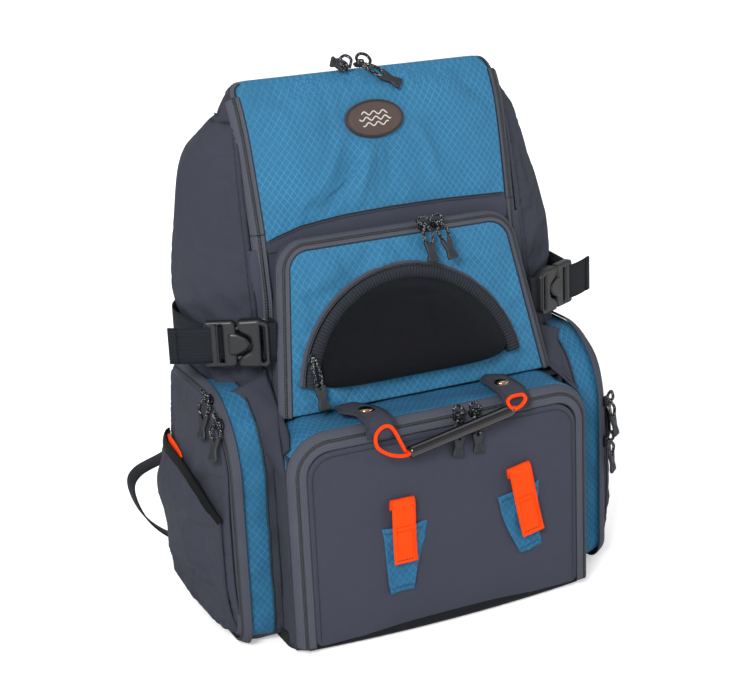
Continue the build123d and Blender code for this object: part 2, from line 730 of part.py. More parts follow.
def back_and_harness():
    with BuildPart() as panel:
        with BuildSketch(front_plane(BACK_Y + 8)):
            add(arch_face(160, 148, 0, TOP_BACK[1] + 1, 45))
        extrude(amount=8)
    write(panel, "back_panel")

    with BuildPart() as sheet:
        with BuildSketch(front_plane(BACK_Y - 1)):
            with Locations((0, 232)):
                RectangleRounded(264, 430, 20)
        extrude(amount=2)
    write(sheet, "frame_sheet")

    with BuildPart() as pads:
        with BuildSketch(front_plane(BACK_Y + 20)):
            with Locations((-72, 250), (72, 250)):
                RectangleRounded(96, 300, 24)
            with Locations((0, 54)):
                RectangleRounded(240, 70, 24)
        extrude(amount=12 - GAP)
    write(pads, "back_pads")

    with BuildPart() as yoke:
        with BuildSketch(front_plane(BACK_Y + 14)):
            with Locations((0, 436)):
                RectangleRounded(220, 56, 10)
        extrude(amount=6 - GAP)
    write(yoke, "strap_yoke")

    strap_line = [(119, 448), (138, 462), (160, 452), (174, 420), (176, 330), (168, 262), (160, 236)]
    with BuildPart() as strap:
        with BuildSketch(side_plane(40)):
            add(cloth_strip(strap_line, 10))
        extrude(amount=62)
    write_pair(strap, "shoulder_straps")

    with BuildPart() as lock:
        with BuildSketch(Plane.XY.offset(219)):
            with Locations((84, 152)):
                RectangleRounded(32, 7, 2)
        extrude(amount=15)
        with BuildSketch(front_plane(160)):
            with Locations((84, 223.5), (84, 230)):
                Rectangle(STRAP_WEB + 1, 3)
        extrude(amount=20, mode=Mode.SUBTRACT)
    write_pair(lock, "ladder_locks")

    loop = [
        (104, 223),
        (122, 182),
        (158, 142),
        (204, 124),
        (231, 116),
        (239, 97),
        (228, 62),
        (204, 40),
        (177, 31),
    ]
    with BuildPart() as lower:
        with BuildSketch(front_plane(164)):
            add(cloth_strip(loop, WEB_THICK))
        extrude(amount=STRAP_WEB)
        with BuildSketch(Plane.XY.offset(20)):
            with BuildLine():
                Polyline(
                    (136, BACK_Y + 8 + GAP), (160, BACK_Y + 8 + GAP), (178, 160), (168, 160), close=True
                )
            make_face()
        extrude(amount=12)
    write_pair(lower, "lower_webbing")

    grip = [(-34, 469), (-31, 488), (-18, 498), (18, 498), (31, 488), (34, 469)]
    with BuildPart() as haul:
        with BuildSketch(front_plane(BACK_Y + 8 + 1 + STRAP_WEB)):
            add(cloth_strip(grip, 2.4))
        extrude(amount=STRAP_WEB)
    write(haul, "haul_loop")


# ---------------------------------------------------------------- zip sliders


def slider_body(seat):
    """A slider with its bridge, on a seat plane whose local x runs along the zip."""
    with BuildPart(mode=Mode.PRIVATE) as slider:
        with BuildSketch(seat.offset(GAP)):
            RectangleRounded(11, 8, 2.5)
        extrude(amount=3.6)
        with BuildSketch(seat.offset(GAP + 3.6)):
            Rectangle(6, 2.4)
        extrude(amount=1.8)
    return slider.part


def pull_tag(seat, angle, length, lift=6.0):
    """A cord pull lying along the seat plane, turned by an angle from the zip's direction."""
    with BuildPart(mode=Mode.PRIVATE) as pull:
        with BuildSketch(seat.offset(lift)):
            with Locations(Location((0, 0), angle)):
                with Locations((length / 2, 0)):
                    Rectangle(length, 4.6)
        extrude(amount=1.8)
    return pull.part


def side_edge_seat(sign, height):
    """Seat for a slider on the straight front run of a side pocket's zip."""
    return seat_on((sign * (SIDE_DOOR_IN + 4.3), SIDE_FRONT, height), (0, 0, 1), (0, -1, 0))


def side_brow_seat(sign, angle):
    """Seat for a slider on the rounded brow of a side pocket's zip."""
    turn = radians(angle)
    y = SIDE_FRONT + SIDE_BROW + SIDE_BROW * cos(turn)
    z = SIDE_HEAD - SIDE_BROW + SIDE_BROW * sin(turn)
    return seat_on((sign * (SIDE_DOOR_IN + 4.3), y, z), (0, sin(turn), -cos(turn)), (0, cos(turn), sin(turn)))


def slider_with_pull(label, seat, angle, length):
    """A slider whose pull is short and lies close, made as one piece."""
    with BuildPart() as slider:
        add(slider_body(seat))
        add(pull_tag(seat, angle, length, GAP + 5.2))
    write(slider, label)


def slider_and_pull(label, seat, angle, length):
    """A slider and a separate swinging pull."""
    with BuildPart() as slider:
        add(slider_body(seat))
    write(slider, f"{label}_slider")
    with BuildPart() as pull:
        add(pull_tag(seat, angle, length))
    write(pull, f"{label}_pull")


def seat_on(origin, x_dir, z_dir):
    return Plane(origin=origin, x_dir=x_dir, z_dir=z_dir)


def zip_sliders():
    across = (1, 0, 0)
    crown = (CROWN[0] - 2.7, CROWN[1] - 4)
    crown_out = (0, -22, 15)
    slider_and_pull("main_left", seat_on((-18, *crown), across, crown_out), 104, 18)
    slider_and_pull("main_right", seat_on((1, *crown), across, crown_out), -38, 32)

    door = door_plane()
    tape_line = (POCKET_HEAD - SKIN_FOOT[1]) / cos(radians(DOOR_LEAN)) - TAPE / 2
    for side, x, angle in (("left", 27, -90), ("right", 42, -84)):
        origin = door.from_local_coords(Vector(x, tape_line, 0))
        slider_with_pull(f"pocket_{side}_slider", seat_on(origin, across, door.z_dir), angle, 27)

    flap_tape = (FRONT_Y + 1, TACKLE_TOP - 2 - TACKLE_TAPE / 2)
    for side, x, angle in (("left", 14, -96), ("right", 32, -88)):
        seat = seat_on((x, *flap_tape), across, (0, -1, 0))
        slider_with_pull(f"tackle_{side}_slider", seat, angle, 30)

    rise = CASE_FOOT + CASE_HEIGHT
    arc = (CASE_HALF**2 + CASE_HEIGHT**2) / (2 * CASE_HEIGHT)
    turn = radians(151)
    on_rim = door.from_local_coords(
        Vector(CASE_X + (arc - 4) * cos(turn), rise - arc + (arc - 4) * sin(turn), EVA + GAP + 4)
    )
    slider_and_pull("case", seat_on(on_rim, door.x_dir, door.z_dir), 252, 40)

    slider_with_pull("right_low_slider", side_edge_seat(1, 138), 180, 26)
    slider_with_pull("right_high_slider", side_brow_seat(1, 178), 180, 22)
    slider_with_pull("left_low_slider", side_brow_seat(-1, 136), 180, 22)
    slider_with_pull("left_high_slider", side_brow_seat(-1, 113), 180, 17)


lower_compartment()
tackle_flap()
tool_holders()
handle()
front_and_top()
side_panel()
upper_pocket()
glasses_case()
side_pocket()
zip_tapes_on_body()
buckle()
compression_webbing()
back_and_harness()
zip_sliders()
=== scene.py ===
"""Looks for the tackle backpack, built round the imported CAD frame. Millimetres in here, metres in Blender."""

import math

import bpy
import numpy as np
from mathutils import Matrix, Vector


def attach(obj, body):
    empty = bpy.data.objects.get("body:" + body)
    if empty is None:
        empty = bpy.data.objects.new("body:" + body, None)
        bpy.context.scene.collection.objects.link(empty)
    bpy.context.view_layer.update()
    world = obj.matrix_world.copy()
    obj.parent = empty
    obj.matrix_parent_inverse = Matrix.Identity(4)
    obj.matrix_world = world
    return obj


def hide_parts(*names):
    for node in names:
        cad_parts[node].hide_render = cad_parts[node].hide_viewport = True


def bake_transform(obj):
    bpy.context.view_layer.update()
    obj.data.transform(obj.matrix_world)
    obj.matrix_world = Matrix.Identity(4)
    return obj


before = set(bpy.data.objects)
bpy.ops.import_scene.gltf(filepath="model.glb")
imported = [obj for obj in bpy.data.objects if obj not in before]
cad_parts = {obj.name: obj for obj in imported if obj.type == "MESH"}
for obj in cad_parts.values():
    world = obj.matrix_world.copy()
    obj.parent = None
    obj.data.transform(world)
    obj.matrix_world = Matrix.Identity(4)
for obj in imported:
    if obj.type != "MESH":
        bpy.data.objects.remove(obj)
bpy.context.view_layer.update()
MM = 0.001


# ------------------------------------------------------------------ materials
def srgb(r, g, b):
    c = [((v / 255.0 + 0.055) / 1.055) ** 2.4 if v > 10 else v / 255.0 / 12.92 for v in (r, g, b)]
    return (*c, 1.0)


class Shader:
    """A small helper that wires shader nodes."""

    def __init__(self, name):
        self.mat = bpy.data.materials.new(name)
        self.mat.use_nodes = True
        self.nt = self.mat.node_tree
        self.bsdf = self.nt.nodes["Principled BSDF"]

    def node(self, kind, **values):
        n = self.nt.nodes.new(kind)
        for k, v in values.items():
            if k in n.inputs:
                n.inputs[k].default_value = v
            else:
                setattr(n, k, v)
        return n

    def link(self, a, b):
        self.nt.links.new(a, b)

    def math(self, op, a, b=None, c=None):
        n = self.nt.nodes.new("ShaderNodeMath")
        n.operation = op
        for i, v in enumerate((a, b, c)):
            if v is None:
                continue
            if isinstance(v, (int, float)):
                n.inputs[i].default_value = v
            else:
                self.link(v, n.inputs[i])
        return n.outputs[0]

    def uv(self):
        c = self.node("ShaderNodeTexCoord")
        s = self.node("ShaderNodeSeparateXYZ")
        self.link(c.outputs["UV"], s.inputs[0])
        return s.outputs["X"], s.outputs["Y"]

    def noise(self, scale, detail=3.0, rough=0.55, coords="Object"):
        c = self.node("ShaderNodeTexCoord")
        n = self.node("ShaderNodeTexNoise", Scale=scale, Detail=detail, Roughness=rough)
        self.link(c.outputs[coords], n.inputs["Vector"])
        return n.outputs["Fac"]

    def colour(self, rgb, factor):
        """Base colour times a varying factor."""
        m = self.node("ShaderNodeVectorMath", operation="SCALE")
        m.inputs[0].default_value = rgb[:3]
        self.link(factor, m.inputs["Scale"])
        self.link(m.outputs[0], self.bsdf.inputs["Base Color"])

    def bump(self, height, distance, strength=1.0, under=None):
        b = self.node("ShaderNodeBump", Strength=strength, Distance=distance)
        self.link(height, b.inputs["Height"])
        if under is not None:
            self.link(under, b.inputs["Normal"])
        self.link(b.outputs[0], self.bsdf.inputs["Normal"])
        return b.outputs[0]


def weave_height(s, u, v, pitch):
    a = s.math("SINE", s.math("MULTIPLY", u, 2 * math.pi / (pitch * MM)))
    b = s.math("SINE", s.math("MULTIPLY", v, 2 * math.pi / (pitch * MM)))
    return s.math("MULTIPLY", a, b)


def fabric(name, rgb, pitch=0.9, ripstop=0.0, rough=0.8, wear_and_hollow_shade=0.06, fuzz=0.02, blotch=0.16):
    """Woven cloth: fine weave, colour drift, edges lightened where worn, hollows darkened as painted shade, and
    optional raised diamond ripstop lines.
    """
    s = Shader(name)
    u, v = s.uv()
    drift = s.math("MULTIPLY_ADD", s.noise(14.0, 4.0), blotch, 1.0 - blotch / 2)
    grain = s.math("MULTIPLY_ADD", s.noise(1400.0, 2.0, 0.7), 0.22, 0.89)
    factor = s.math("MULTIPLY", drift, grain)
    geo = s.node("ShaderNodeNewGeometry")
    # Pointiness paints convex edges lighter where worn and hollows and creases darker as painted shade.
    worn_edges_and_hollow_shade = s.math("MULTIPLY", s.math("SUBTRACT", geo.outputs["Pointiness"], 0.5), wear_and_hollow_shade * 22)
    factor = s.math("ADD", factor, s.math("MINIMUM", s.math("MAXIMUM", worn_edges_and_hollow_shade, -0.2), 0.3))
    height = weave_height(s, u, v, pitch)
    if ripstop:
        c, d = math.cos(math.radians(52)), math.sin(math.radians(52))
        cells = []
        for sign in (1, -1):
            along = s.math(
                "ADD", s.math("MULTIPLY", u, d / (ripstop * MM)),
                s.math("MULTIPLY", v, sign * c / (ripstop * MM))
            )
            cell = s.math("ABSOLUTE", s.math("SUBTRACT", s.math("FRACT", along), 0.5))
            cells.append(
                s.math(
                    "SMOOTH_MIN",
                    s.math("MULTIPLY", s.math("MAXIMUM", s.math("SUBTRACT", cell, 0.40), 0.0), 14.0), 1.0,
                    0.2
                )
            )
        lines = s.math("MAXIMUM", cells[0], cells[1])
        sheen = s.math("MULTIPLY_ADD", s.noise(24.0, 3.0), 0.9, 0.0)
        factor = s.math(
            "MULTIPLY", factor, s.math("MULTIPLY_ADD", s.math("MULTIPLY", lines, sheen), 1.0, 0.90)
        )
        height = s.math("ADD", s.math("MULTIPLY", height, 0.5), s.math("MULTIPLY", lines, 1.6))
    s.colour(rgb, factor)
    crumple = s.bump(s.noise(38.0, 4.0, 0.5), 0.0035, 0.35)
    s.bump(height, 0.00022, 0.6, crumple)
    rough_mix = s.math("MULTIPLY_ADD", s.noise(120.0), 0.2, rough - 0.1)
    s.link(rough_mix, s.bsdf.inputs["Roughness"])
    s.bsdf.inputs["Sheen Weight"].default_value = fuzz
    s.bsdf.inputs["Sheen Roughness"].default_value = 0.5
    s.bsdf.inputs["Specular IOR Level"].default_value = 0.12
    return s.mat


def ribbed(name, rgb, along=1.6, across=2.4, rough=0.75, depth=0.0004, groove_shade_amount=0.22):
    """Webbing or knitted tape: ribs across the strip (v runs along it) and columns (u runs across)."""
    s = Shader(name)
    u, v = s.uv()
    cols = s.math("ABSOLUTE", s.math("SINE", s.math("MULTIPLY", u, math.pi / (across * MM))))
    shift = s.math("MULTIPLY", s.math("FLOOR", s.math("MULTIPLY", u, 1 / (across * MM))), 0.5)
    rows = s.math(
        "ABSOLUTE",
        s.math(
            "SINE",
            s.math("MULTIPLY", s.math("ADD", s.math("MULTIPLY", v, 1 / (along * MM)), shift), math.pi)
        )
    )
    height = s.math("ADD", s.math("MULTIPLY", cols, 0.8), s.math("MULTIPLY", rows, 0.6))
    # Rib tops lighter and grooves darker: painted shade following the rib height, times random noise.
    groove_shade_and_tone = s.math("MULTIPLY_ADD", height, groove_shade_amount, 1.02 - groove_shade_amount)
    groove_shade_and_tone = s.math("MULTIPLY", groove_shade_and_tone, s.math("MULTIPLY_ADD", s.noise(40.0, 4.0), 0.24, 0.88))
    s.colour(rgb, groove_shade_and_tone)
    s.bump(height, depth, 0.7)
    s.bsdf.inputs["Roughness"].default_value = rough
    s.bsdf.inputs["Specular IOR Level"].default_value = 0.15
    return s.mat


def solid(name, rgb, rough=0.4, metal=0.0, grain=900.0, depth=0.00008, coat=0.0, drift=0.1):
    s = Shader(name)
    s.colour(rgb, s.math("MULTIPLY_ADD", s.noise(60.0, 4.0), drift, 1.0 - drift / 2))
    s.bump(s.noise(grain, 3.0), depth, 0.6)
    s.link(s.math("MULTIPLY_ADD", s.noise(150.0), 0.16, rough - 0.08), s.bsdf.inputs["Roughness"])
    s.bsdf.inputs["Metallic"].default_value = metal
    s.bsdf.inputs["Coat Weight"].default_value = coat
    return s.mat


def flecked(name, dark, light, scale=900.0, share=0.62):
    """Braided cord in two colours."""
    s = Shader(name)
    n = s.math("GREATER_THAN", s.noise(scale, 1.0, 0.4), share)
    mix = s.node("ShaderNodeMix", data_type="RGBA")
    s.link(n, mix.inputs[0])
    mix.inputs[6].default_value = dark
    mix.inputs[7].default_value = light
    s.link(mix.outputs[2], s.bsdf.inputs["Base Color"])
    s.bump(s.noise(1600.0, 2.0), 0.0003, 0.8)
    s.bsdf.inputs["Specular IOR Level"].default_value = 0.15
    s.bsdf.inputs["Roughness"].default_value = 0.7
    return s.mat


BLUE = fabric("blue_ripstop", srgb(50, 108, 143), ripstop=5.6, rough=0.62, blotch=0.22)
# Darker copy of the blue ripstop: the difference from the blue is painted shade.
BLUE_SHADED = fabric("blue_ripstop_shaded", srgb(42, 97, 131), ripstop=5.6, rough=0.66, blotch=0.2)
GREY = fabric("grey_weave", srgb(62, 64, 77), pitch=0.8, rough=0.82)
# Darker copy of the grey weave: the difference from the grey is painted shade.
GREY_SHADED = fabric("grey_weave_shaded", srgb(58, 60, 71), pitch=0.8, rough=0.82, blotch=0.24)
BLACK = fabric("black_coated", srgb(24, 26, 31), pitch=1.1, rough=0.7)
LINING = fabric("lining", srgb(44, 46, 54), pitch=0.7, rough=0.8)
MESH = fabric("air_mesh", srgb(28, 30, 36), pitch=3.4, rough=0.9, blotch=0.1)
TAPE = ribbed("zip_tape", srgb(72, 75, 85), along=1.3, across=2.0, depth=0.00025)
TAPE_DARK = ribbed("zip_tape_dark", srgb(66, 69, 79), along=1.3, across=2.0, depth=0.00025)
COIL = solid("zip_coil", srgb(22, 24, 28), rough=0.5)
# The binding's rib grooves carry strong painted shade.
BINDING = ribbed("knit_binding", srgb(36, 39, 45), along=3.2, across=60.0, depth=0.002, groove_shade_amount=0.7)
WEB = ribbed("webbing", srgb(26, 29, 34), along=1.5, across=3.2)
ELASTIC = ribbed("elastic", srgb(10, 11, 13), along=1.2, across=1.6)
ORANGE = ribbed("orange_webbing", srgb(240, 68, 4), along=1.5, across=3.0, depth=0.0003)
ORANGE_CORD = flecked("orange_cord", srgb(236, 60, 3), srgb(246, 84, 12))
PIPING = solid("piping", srgb(14, 15, 18), rough=0.7)
EVA = fabric("eva_cloth", srgb(12, 13, 18), pitch=0.6, rough=0.74, blotch=0.2)
PLASTIC = solid("black_plastic", srgb(17, 19, 22), rough=0.42)
TUBE = solid("tube_gloss", srgb(12, 12, 18), rough=0.16, coat=0.6)
SNAP = solid("snap_bronze", srgb(176, 146, 118), rough=0.22, metal=1.0, drift=0.3)
METAL = solid("slider_metal", srgb(40, 40, 44), rough=0.35, metal=0.8)
RUBBER = solid("pull_rubber", srgb(26, 29, 35), rough=0.55)
CORD = flecked("pull_cord", srgb(18, 19, 23), srgb(165, 167, 171), 1000.0, 0.63)
LEATHER = solid("badge_leather", srgb(66, 50, 45), rough=0.55, grain=420.0, depth=0.0005, drift=0.3)
LEATHER_RIM = solid("badge_rim", srgb(34, 26, 25), rough=0.6)
THREAD = solid("thread", srgb(30, 32, 38), rough=0.7)
THREAD_LIGHT = solid("thread_light", srgb(84, 88, 100), rough=0.7)
THREAD_BLUE = solid("thread_blue", srgb(30, 66, 90), rough=0.7)
BADGE_LINE = solid("badge_line", srgb(196, 190, 182), rough=0.6)


# ------------------------------------------------------------------ meshes
def unit(v):
    v = np.asarray(v, float)
    return v / np.maximum(np.linalg.norm(v, axis=-1, keepdims=True), 1e-9)


def ripple(p, wave, seed):
    """Smooth random folds, about -1 to 1, from points in millimetres."""
    g = np.random.default_rng(seed)
    out = np.zeros(len(p))
    for k in range(7):
        d = unit(g.normal(size=p.shape[1]))
        w = wave * g.uniform(0.6, 1.8)
        out += np.sin(p @ d * (2 * math.pi / w) + g.uniform(0, 6.28)) / 3.2
    return out


def make(name, verts, faces, material, body, node=(), uv=None, slot=None, smooth=True, ride=True):
    """Adds a mesh, gives it texture coordinates in metres, and hangs it on a CAD body."""
    me = bpy.data.meshes.new(name)
    me.from_pydata((np.asarray(verts, float) * MM).tolist(), [], [list(map(int, f)) for f in faces])
    me.update()
    ob = bpy.data.objects.new(name, me)
    bpy.context.scene.collection.objects.link(ob)
    me.materials.append(material)
    layer = me.uv_layers.new(name="UVMap")
    loops = np.zeros(len(me.loops), int)
    me.loops.foreach_get("vertex_index", loops)
    if uv is None:
        co = np.asarray(verts, float) * MM
        axis = np.array([int(np.argmax(np.abs(p.normal))) for p in me.polygons for _ in p.loop_indices])
        pick = np.array([[1, 2], [0, 2], [0, 1]])[axis]
        c = co[loops]
        flat = np.stack([c[np.arange(len(c)), pick[:, 0]], c[np.arange(len(c)), pick[:, 1]]], 1)
    else:
        flat = (np.asarray(uv, float) * MM)[loops]
    layer.data.foreach_set("uv", flat.astype(np.float32).ravel())
    me.polygons.foreach_set("use_smooth", [smooth] * len(me.polygons))
    me.update()
    if ride:
        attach(ob, body)
    if node:
        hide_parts(*([node] if isinstance(node, str) else node))
    return ob


def resample(points, step=None, count=None, closed=False):
    p = np.asarray(points, float)
    if closed:
        p = np.vstack([p, p[:1]])
    d = np.r_[0, np.cumsum(np.linalg.norm(np.diff(p, axis=0), axis=1))]
    n = count or max(2, int(round(d[-1] / step)) + 1)
    t = np.linspace(0, d[-1], n + 1)[:-1] if closed else np.linspace(0, d[-1], n)
    return np.stack([np.interp(t, d, p[:, k]) for k in range(p.shape[1])], 1)


def curve(points, step=2.0, closed=False):
    """Catmull-Rom curve through the points, evenly sampled."""
    p = np.asarray(points, float)
    n = len(p)
    if closed:
        idx = [(i - 1) % n for i in range(n + 3)]
        q = p[idx]
    else:
        q = np.vstack([2 * p[0] - p[1], p, 2 * p[-1] - p[-2]])
    out = []
    for i in range(1, len(q) - 2):
        t = np.linspace(0, 1, 16, endpoint=False)[:, None]
        a, b, c, d = q[i - 1], q[i], q[i + 1], q[i + 2]
        out.append(
            0.5 * (
                2 * b + (c - a) * t + (2 * a - 5 * b + 4 * c - d) * t**2 + (3 * b - a - 3 * c + d) * t**3
            )
        )
    out = np.vstack(out)
    if not closed:
        out = np.vstack([out, p[-1:]])
    return resample(out, step=step, closed=closed)


def rounded(corners, radii, step=3.0, closed=True):
    """A polygon with rounded corners, evenly sampled, in two dimensions."""
    p = np.asarray(corners, float)
    n = len(p)
    out = []
    for i in range(n):
        r = radii[i] if not np.isscalar(radii) else radii
        if not closed and i in (0, n - 1):
            out.append(p[i])
            continue
        a, b, c = p[i - 1], p[i], p[(i + 1) % n]
        u, w = unit(a - b), unit(c - b)
        half = math.acos(np.clip(float(u @ w), -1, 1)) / 2
        if r <= 0.01 or half > 1.56:
            out.append(b)
            continue
        cut = min(r / math.tan(half), 0.49 * np.linalg.norm(a - b), 0.49 * np.linalg.norm(c - b))
        r = cut * math.tan(half)
        centre = b + unit(u + w) * (r / math.sin(half))
        s, e = b + u * cut, b + w * cut
        s0, e0 = s - centre, e - centre
        a0, a1 = math.atan2(s0[1], s0[0]), math.atan2(e0[1], e0[0])
        da = (a1 - a0 + math.pi) % (2 * math.pi) - math.pi
        for t in np.linspace(0, 1, 14):
            out.append(centre + r * np.array([math.cos(a0 + da * t), math.sin(a0 + da * t)]))
    return resample(np.array(out), step=step, closed=closed)


def flat_section(width, thick, crown=0.0, n=7):
    """A strip's cross section: (across, outwards) points, anticlockwise."""
    x = np.linspace(-width / 2, width / 2, n)
    top = thick + crown * (1 - (2 * x / width) ** 2)
    edge = thick * 0.28
    low = [(-width / 2 + edge, 0), (width / 2 - edge, 0), (width / 2, edge)]
    return np.array(low + [(a, b) for a, b in zip(x[::-1], top[::-1])] + [(-width / 2, edge)])


def round_section(radius, n=10):
    a = np.linspace(0, 2 * math.pi, n, endpoint=False)
    return np.stack([radius * np.cos(a), radius * np.sin(a)], 1)


def swept(path, normals, section, closed=False, scale=None, lift=0.0):
    """Verts, faces and uvs of a section carried along a path, upright on its normals."""
    p = np.asarray(path, float)
    n = len(p)
    if closed:
        tan = unit(np.roll(p, -1, 0) - np.roll(p, 1, 0))
    else:
        tan = unit(np.gradient(p, axis=0))
    nor = np.asarray(normals, float)
    nor = np.tile(nor, (n, 1)) if nor.ndim == 1 else nor
    nor = unit(nor - tan * np.sum(nor * tan, 1, keepdims=True))
    side = np.cross(tan, nor)
    k = len(section)
    sec = np.tile(section, (n, 1, 1)).astype(float)
    if scale is not None:
        sec = sec * np.asarray(scale, float)[:, None, :]
    verts = p[:, None, :] + side[:, None, :] * sec[:, :, :1] + nor[:, None, :] * (sec[:, :, 1:] + lift)
    along = np.r_[0, np.cumsum(np.linalg.norm(np.diff(p, axis=0), axis=1))]
    around = np.r_[0, np.cumsum(np.linalg.norm(np.diff(section, axis=0), axis=1))]
    uv = np.stack([np.tile(around, (n, 1)), np.tile(along[:, None], (1, k))], 2)
    faces = []
    last = n if closed else n - 1
    for i in range(last):
        j = (i + 1) % n
        for m in range(k):
            q = (m + 1) % k
            faces.append((i * k + m, i * k + q, j * k + q, j * k + m))
    if not closed:
        faces.append(tuple(range(k - 1, -1, -1)))
        faces.append(tuple((n - 1) * k + m for m in range(k)))
    return verts.reshape(-1, 3), faces, uv.reshape(-1, 2)


def band(
    name, path, normals, width, thick, material, body, closed=False, crown=0.0, lift=0.0, scale=None, **more
):
    v, f, uv = swept(path, normals, flat_section(width, thick, crown), closed, scale, lift)
    return make(name, v, f, material, body, uv=uv, **more)


def cord(name, path, radius, material, body, closed=False, **more):
    p = np.asarray(path, float)
    nor = np.zeros_like(p)
    ref = np.array([0.13, 0.37, 0.92])
    tan = unit(np.gradient(p, axis=0))
    for i in range(len(p)):
        ref = unit(ref - tan[i] * (ref @ tan[i]))
        nor[i] = ref
    v, f, uv = swept(p, nor, round_section(radius), closed)
    return make(name, v, f, material, body, uv=uv, **more)


def grid_sheet(name, pts, thick, material, body, inward=None, **more):
    """A closed sheet from a grid of outer points (rows, columns, 3), thickened on its inner side."""
    g = np.asarray(pts, float)
    r, c = g.shape[:2]
    nor = unit(np.cross(np.gradient(g, axis=1), np.gradient(g, axis=0)))
    if inward is not None and np.sum(nor * (np.asarray(inward) - g)) < 0:
        nor = -nor
    back = g + nor * thick
    verts = np.vstack([g.reshape(-1, 3), back.reshape(-1, 3)])
    m = r * c
    faces = []
    for i in range(r - 1):
        for j in range(c - 1):
            a, b, d, e = i * c + j, i * c + j + 1, (i + 1) * c + j + 1, (i + 1) * c + j
            faces.append((a, b, d, e))
            faces.append((m + e, m + d, m + b, m + a))
    ring = [j for j in range(c)] + [i * c + c - 1 for i in range(1, r)]
    ring += [(r - 1) * c + j for j in range(c - 2, -1, -1)] + [i * c for i in range(r - 2, 0, -1)]
    for a, b in zip(ring, ring[1:] + ring[:1]):
        faces.append((b, a, m + a, m + b))
    return make(name, verts, faces, material, body, **more)


def drape(verts, faces, pin, away, grow=0.02, pressure=3.0, cap=6.0, frames=18, bend=0.3):
    """Lets cloth settle with its pinned points held: it grows a little, puffs out and buckles into folds."""
    v = np.asarray(verts, float)
    me = bpy.data.meshes.new("drape")
    me.from_pydata((v * MM).tolist(), [], [list(map(int, f)) for f in faces])
    me.update()
    lean = sum(p.normal.dot(p.center - Vector(np.asarray(away, float) * MM)) for p in me.polygons)
    if lean < 0:
        me.flip_normals()
    ob = bpy.data.objects.new("drape", me)
    scene = bpy.context.scene
    scene.collection.objects.link(ob)
    group = ob.vertex_groups.new(name="held")
    for i, w in enumerate(np.asarray(pin, float).ravel()):
        if w > 0:
            group.add([i], float(min(w, 1.0)), "REPLACE")
    mod = ob.modifiers.new("cloth", "CLOTH")
    s = mod.settings
    s.quality = 4
    s.mass = 0.2
    s.tension_stiffness = s.compression_stiffness = 18
    s.shear_stiffness = 6
    s.bending_stiffness = bend
    s.air_damping = 4
    s.vertex_group_mass = "held"
    s.shrink_min = s.shrink_max = -grow
    s.use_pressure = True
    s.uniform_pressure_force = pressure
    s.effector_weights.gravity = 0
    mod.collision_settings.use_collision = False
    mod.point_cache.frame_start, mod.point_cache.frame_end = 1, frames
    for f in range(1, frames + 1):
        scene.frame_set(f)
    ev = ob.evaluated_get(bpy.context.evaluated_depsgraph_get())
    co = np.zeros(len(v) * 3)
    ev.data.vertices.foreach_get("co", co)
    scene.frame_set(1)
    bpy.data.objects.remove(ob)
    d = co.reshape(-1, 3) / MM - v
    far = np.linalg.norm(d, axis=1, keepdims=True)
    return v + d * np.minimum(1.0, cap / np.maximum(far, 1e-6))


def grid_faces(r, c):
    return [
        (i * c + j, i * c + j + 1, (i + 1) * c + j + 1, (i + 1) * c + j)
        for i in range(r - 1) for j in range(c - 1)
    ]


def drape_grid(g, pin, away, **how):
    r, c = g.shape[:2]
    return drape(g.reshape(-1, 3), grid_faces(r, c), pin, away, **how).reshape(r, c, 3)


def fan_panel(
    name, outline, place, height, thick, material, body, centre=None, rings=16, ease=1.5, back=0.0,
    cloth=None, hold=None, **more
):
    """A closed panel from a star-shaped outline. place(u, v, h) gives points; height(t, u, v) the rise."""
    o = np.asarray(outline, float)
    c = o.mean(0) if centre is None else np.asarray(centre, float)
    n = len(o)
    ts = 1 - (1 - np.linspace(0, 1, rings + 1)[1:]) ** ease
    uvs, hs, tv = [c[None]], [height(np.zeros(1), c[None, 0], c[None, 1])], [0.0]
    for t in ts:
        q = c + (o - c) * t
        uvs.append(q)
        hs.append(height(np.full(n, t), q[:, 0], q[:, 1]))
        tv += [t] * n
    q, h, tv = np.vstack(uvs), np.concatenate(hs), np.array(tv)
    front = place(q[:, 0], q[:, 1], h)
    low = place(q[:, 0], q[:, 1], np.minimum(h - thick, back) if np.isscalar(back) else back(q, h))
    m = len(front)
    skin, rest = [], []
    for i in range(n):
        j = (i + 1) % n
        skin.append((0, 1 + i, 1 + j))
        rest.append((m, m + 1 + j, m + 1 + i))
        for k in range(len(ts) - 1):
            a, b = 1 + k * n, 1 + (k + 1) * n
            skin.append((a + i, b + i, b + j, a + j))
            rest.append((m + a + j, m + b + j, m + b + i, m + a + i))
        e = 1 + (len(ts) - 1) * n
        rest.append((e + i, m + e + i, m + e + j, e + j))
    if cloth:
        pin = np.clip((tv - 0.93) / 0.05, 0, 1)
        if hold is not None:
            pin = np.maximum(pin, hold(q[:, 0], q[:, 1]))
        front = drape(front, skin, pin, low.mean(0) * 2 - front.mean(0), **cloth)
    ob = make(name, np.vstack([front, low]), skin + rest, material, body, **more)
    fix_normals(ob)
    return ob


def fix_normals(ob):
    import bmesh

    bm = bmesh.new()
    bm.from_mesh(ob.data)
    bmesh.ops.recalc_face_normals(bm, faces=bm.faces)
    bm.to_mesh(ob.data)
    bm.free()


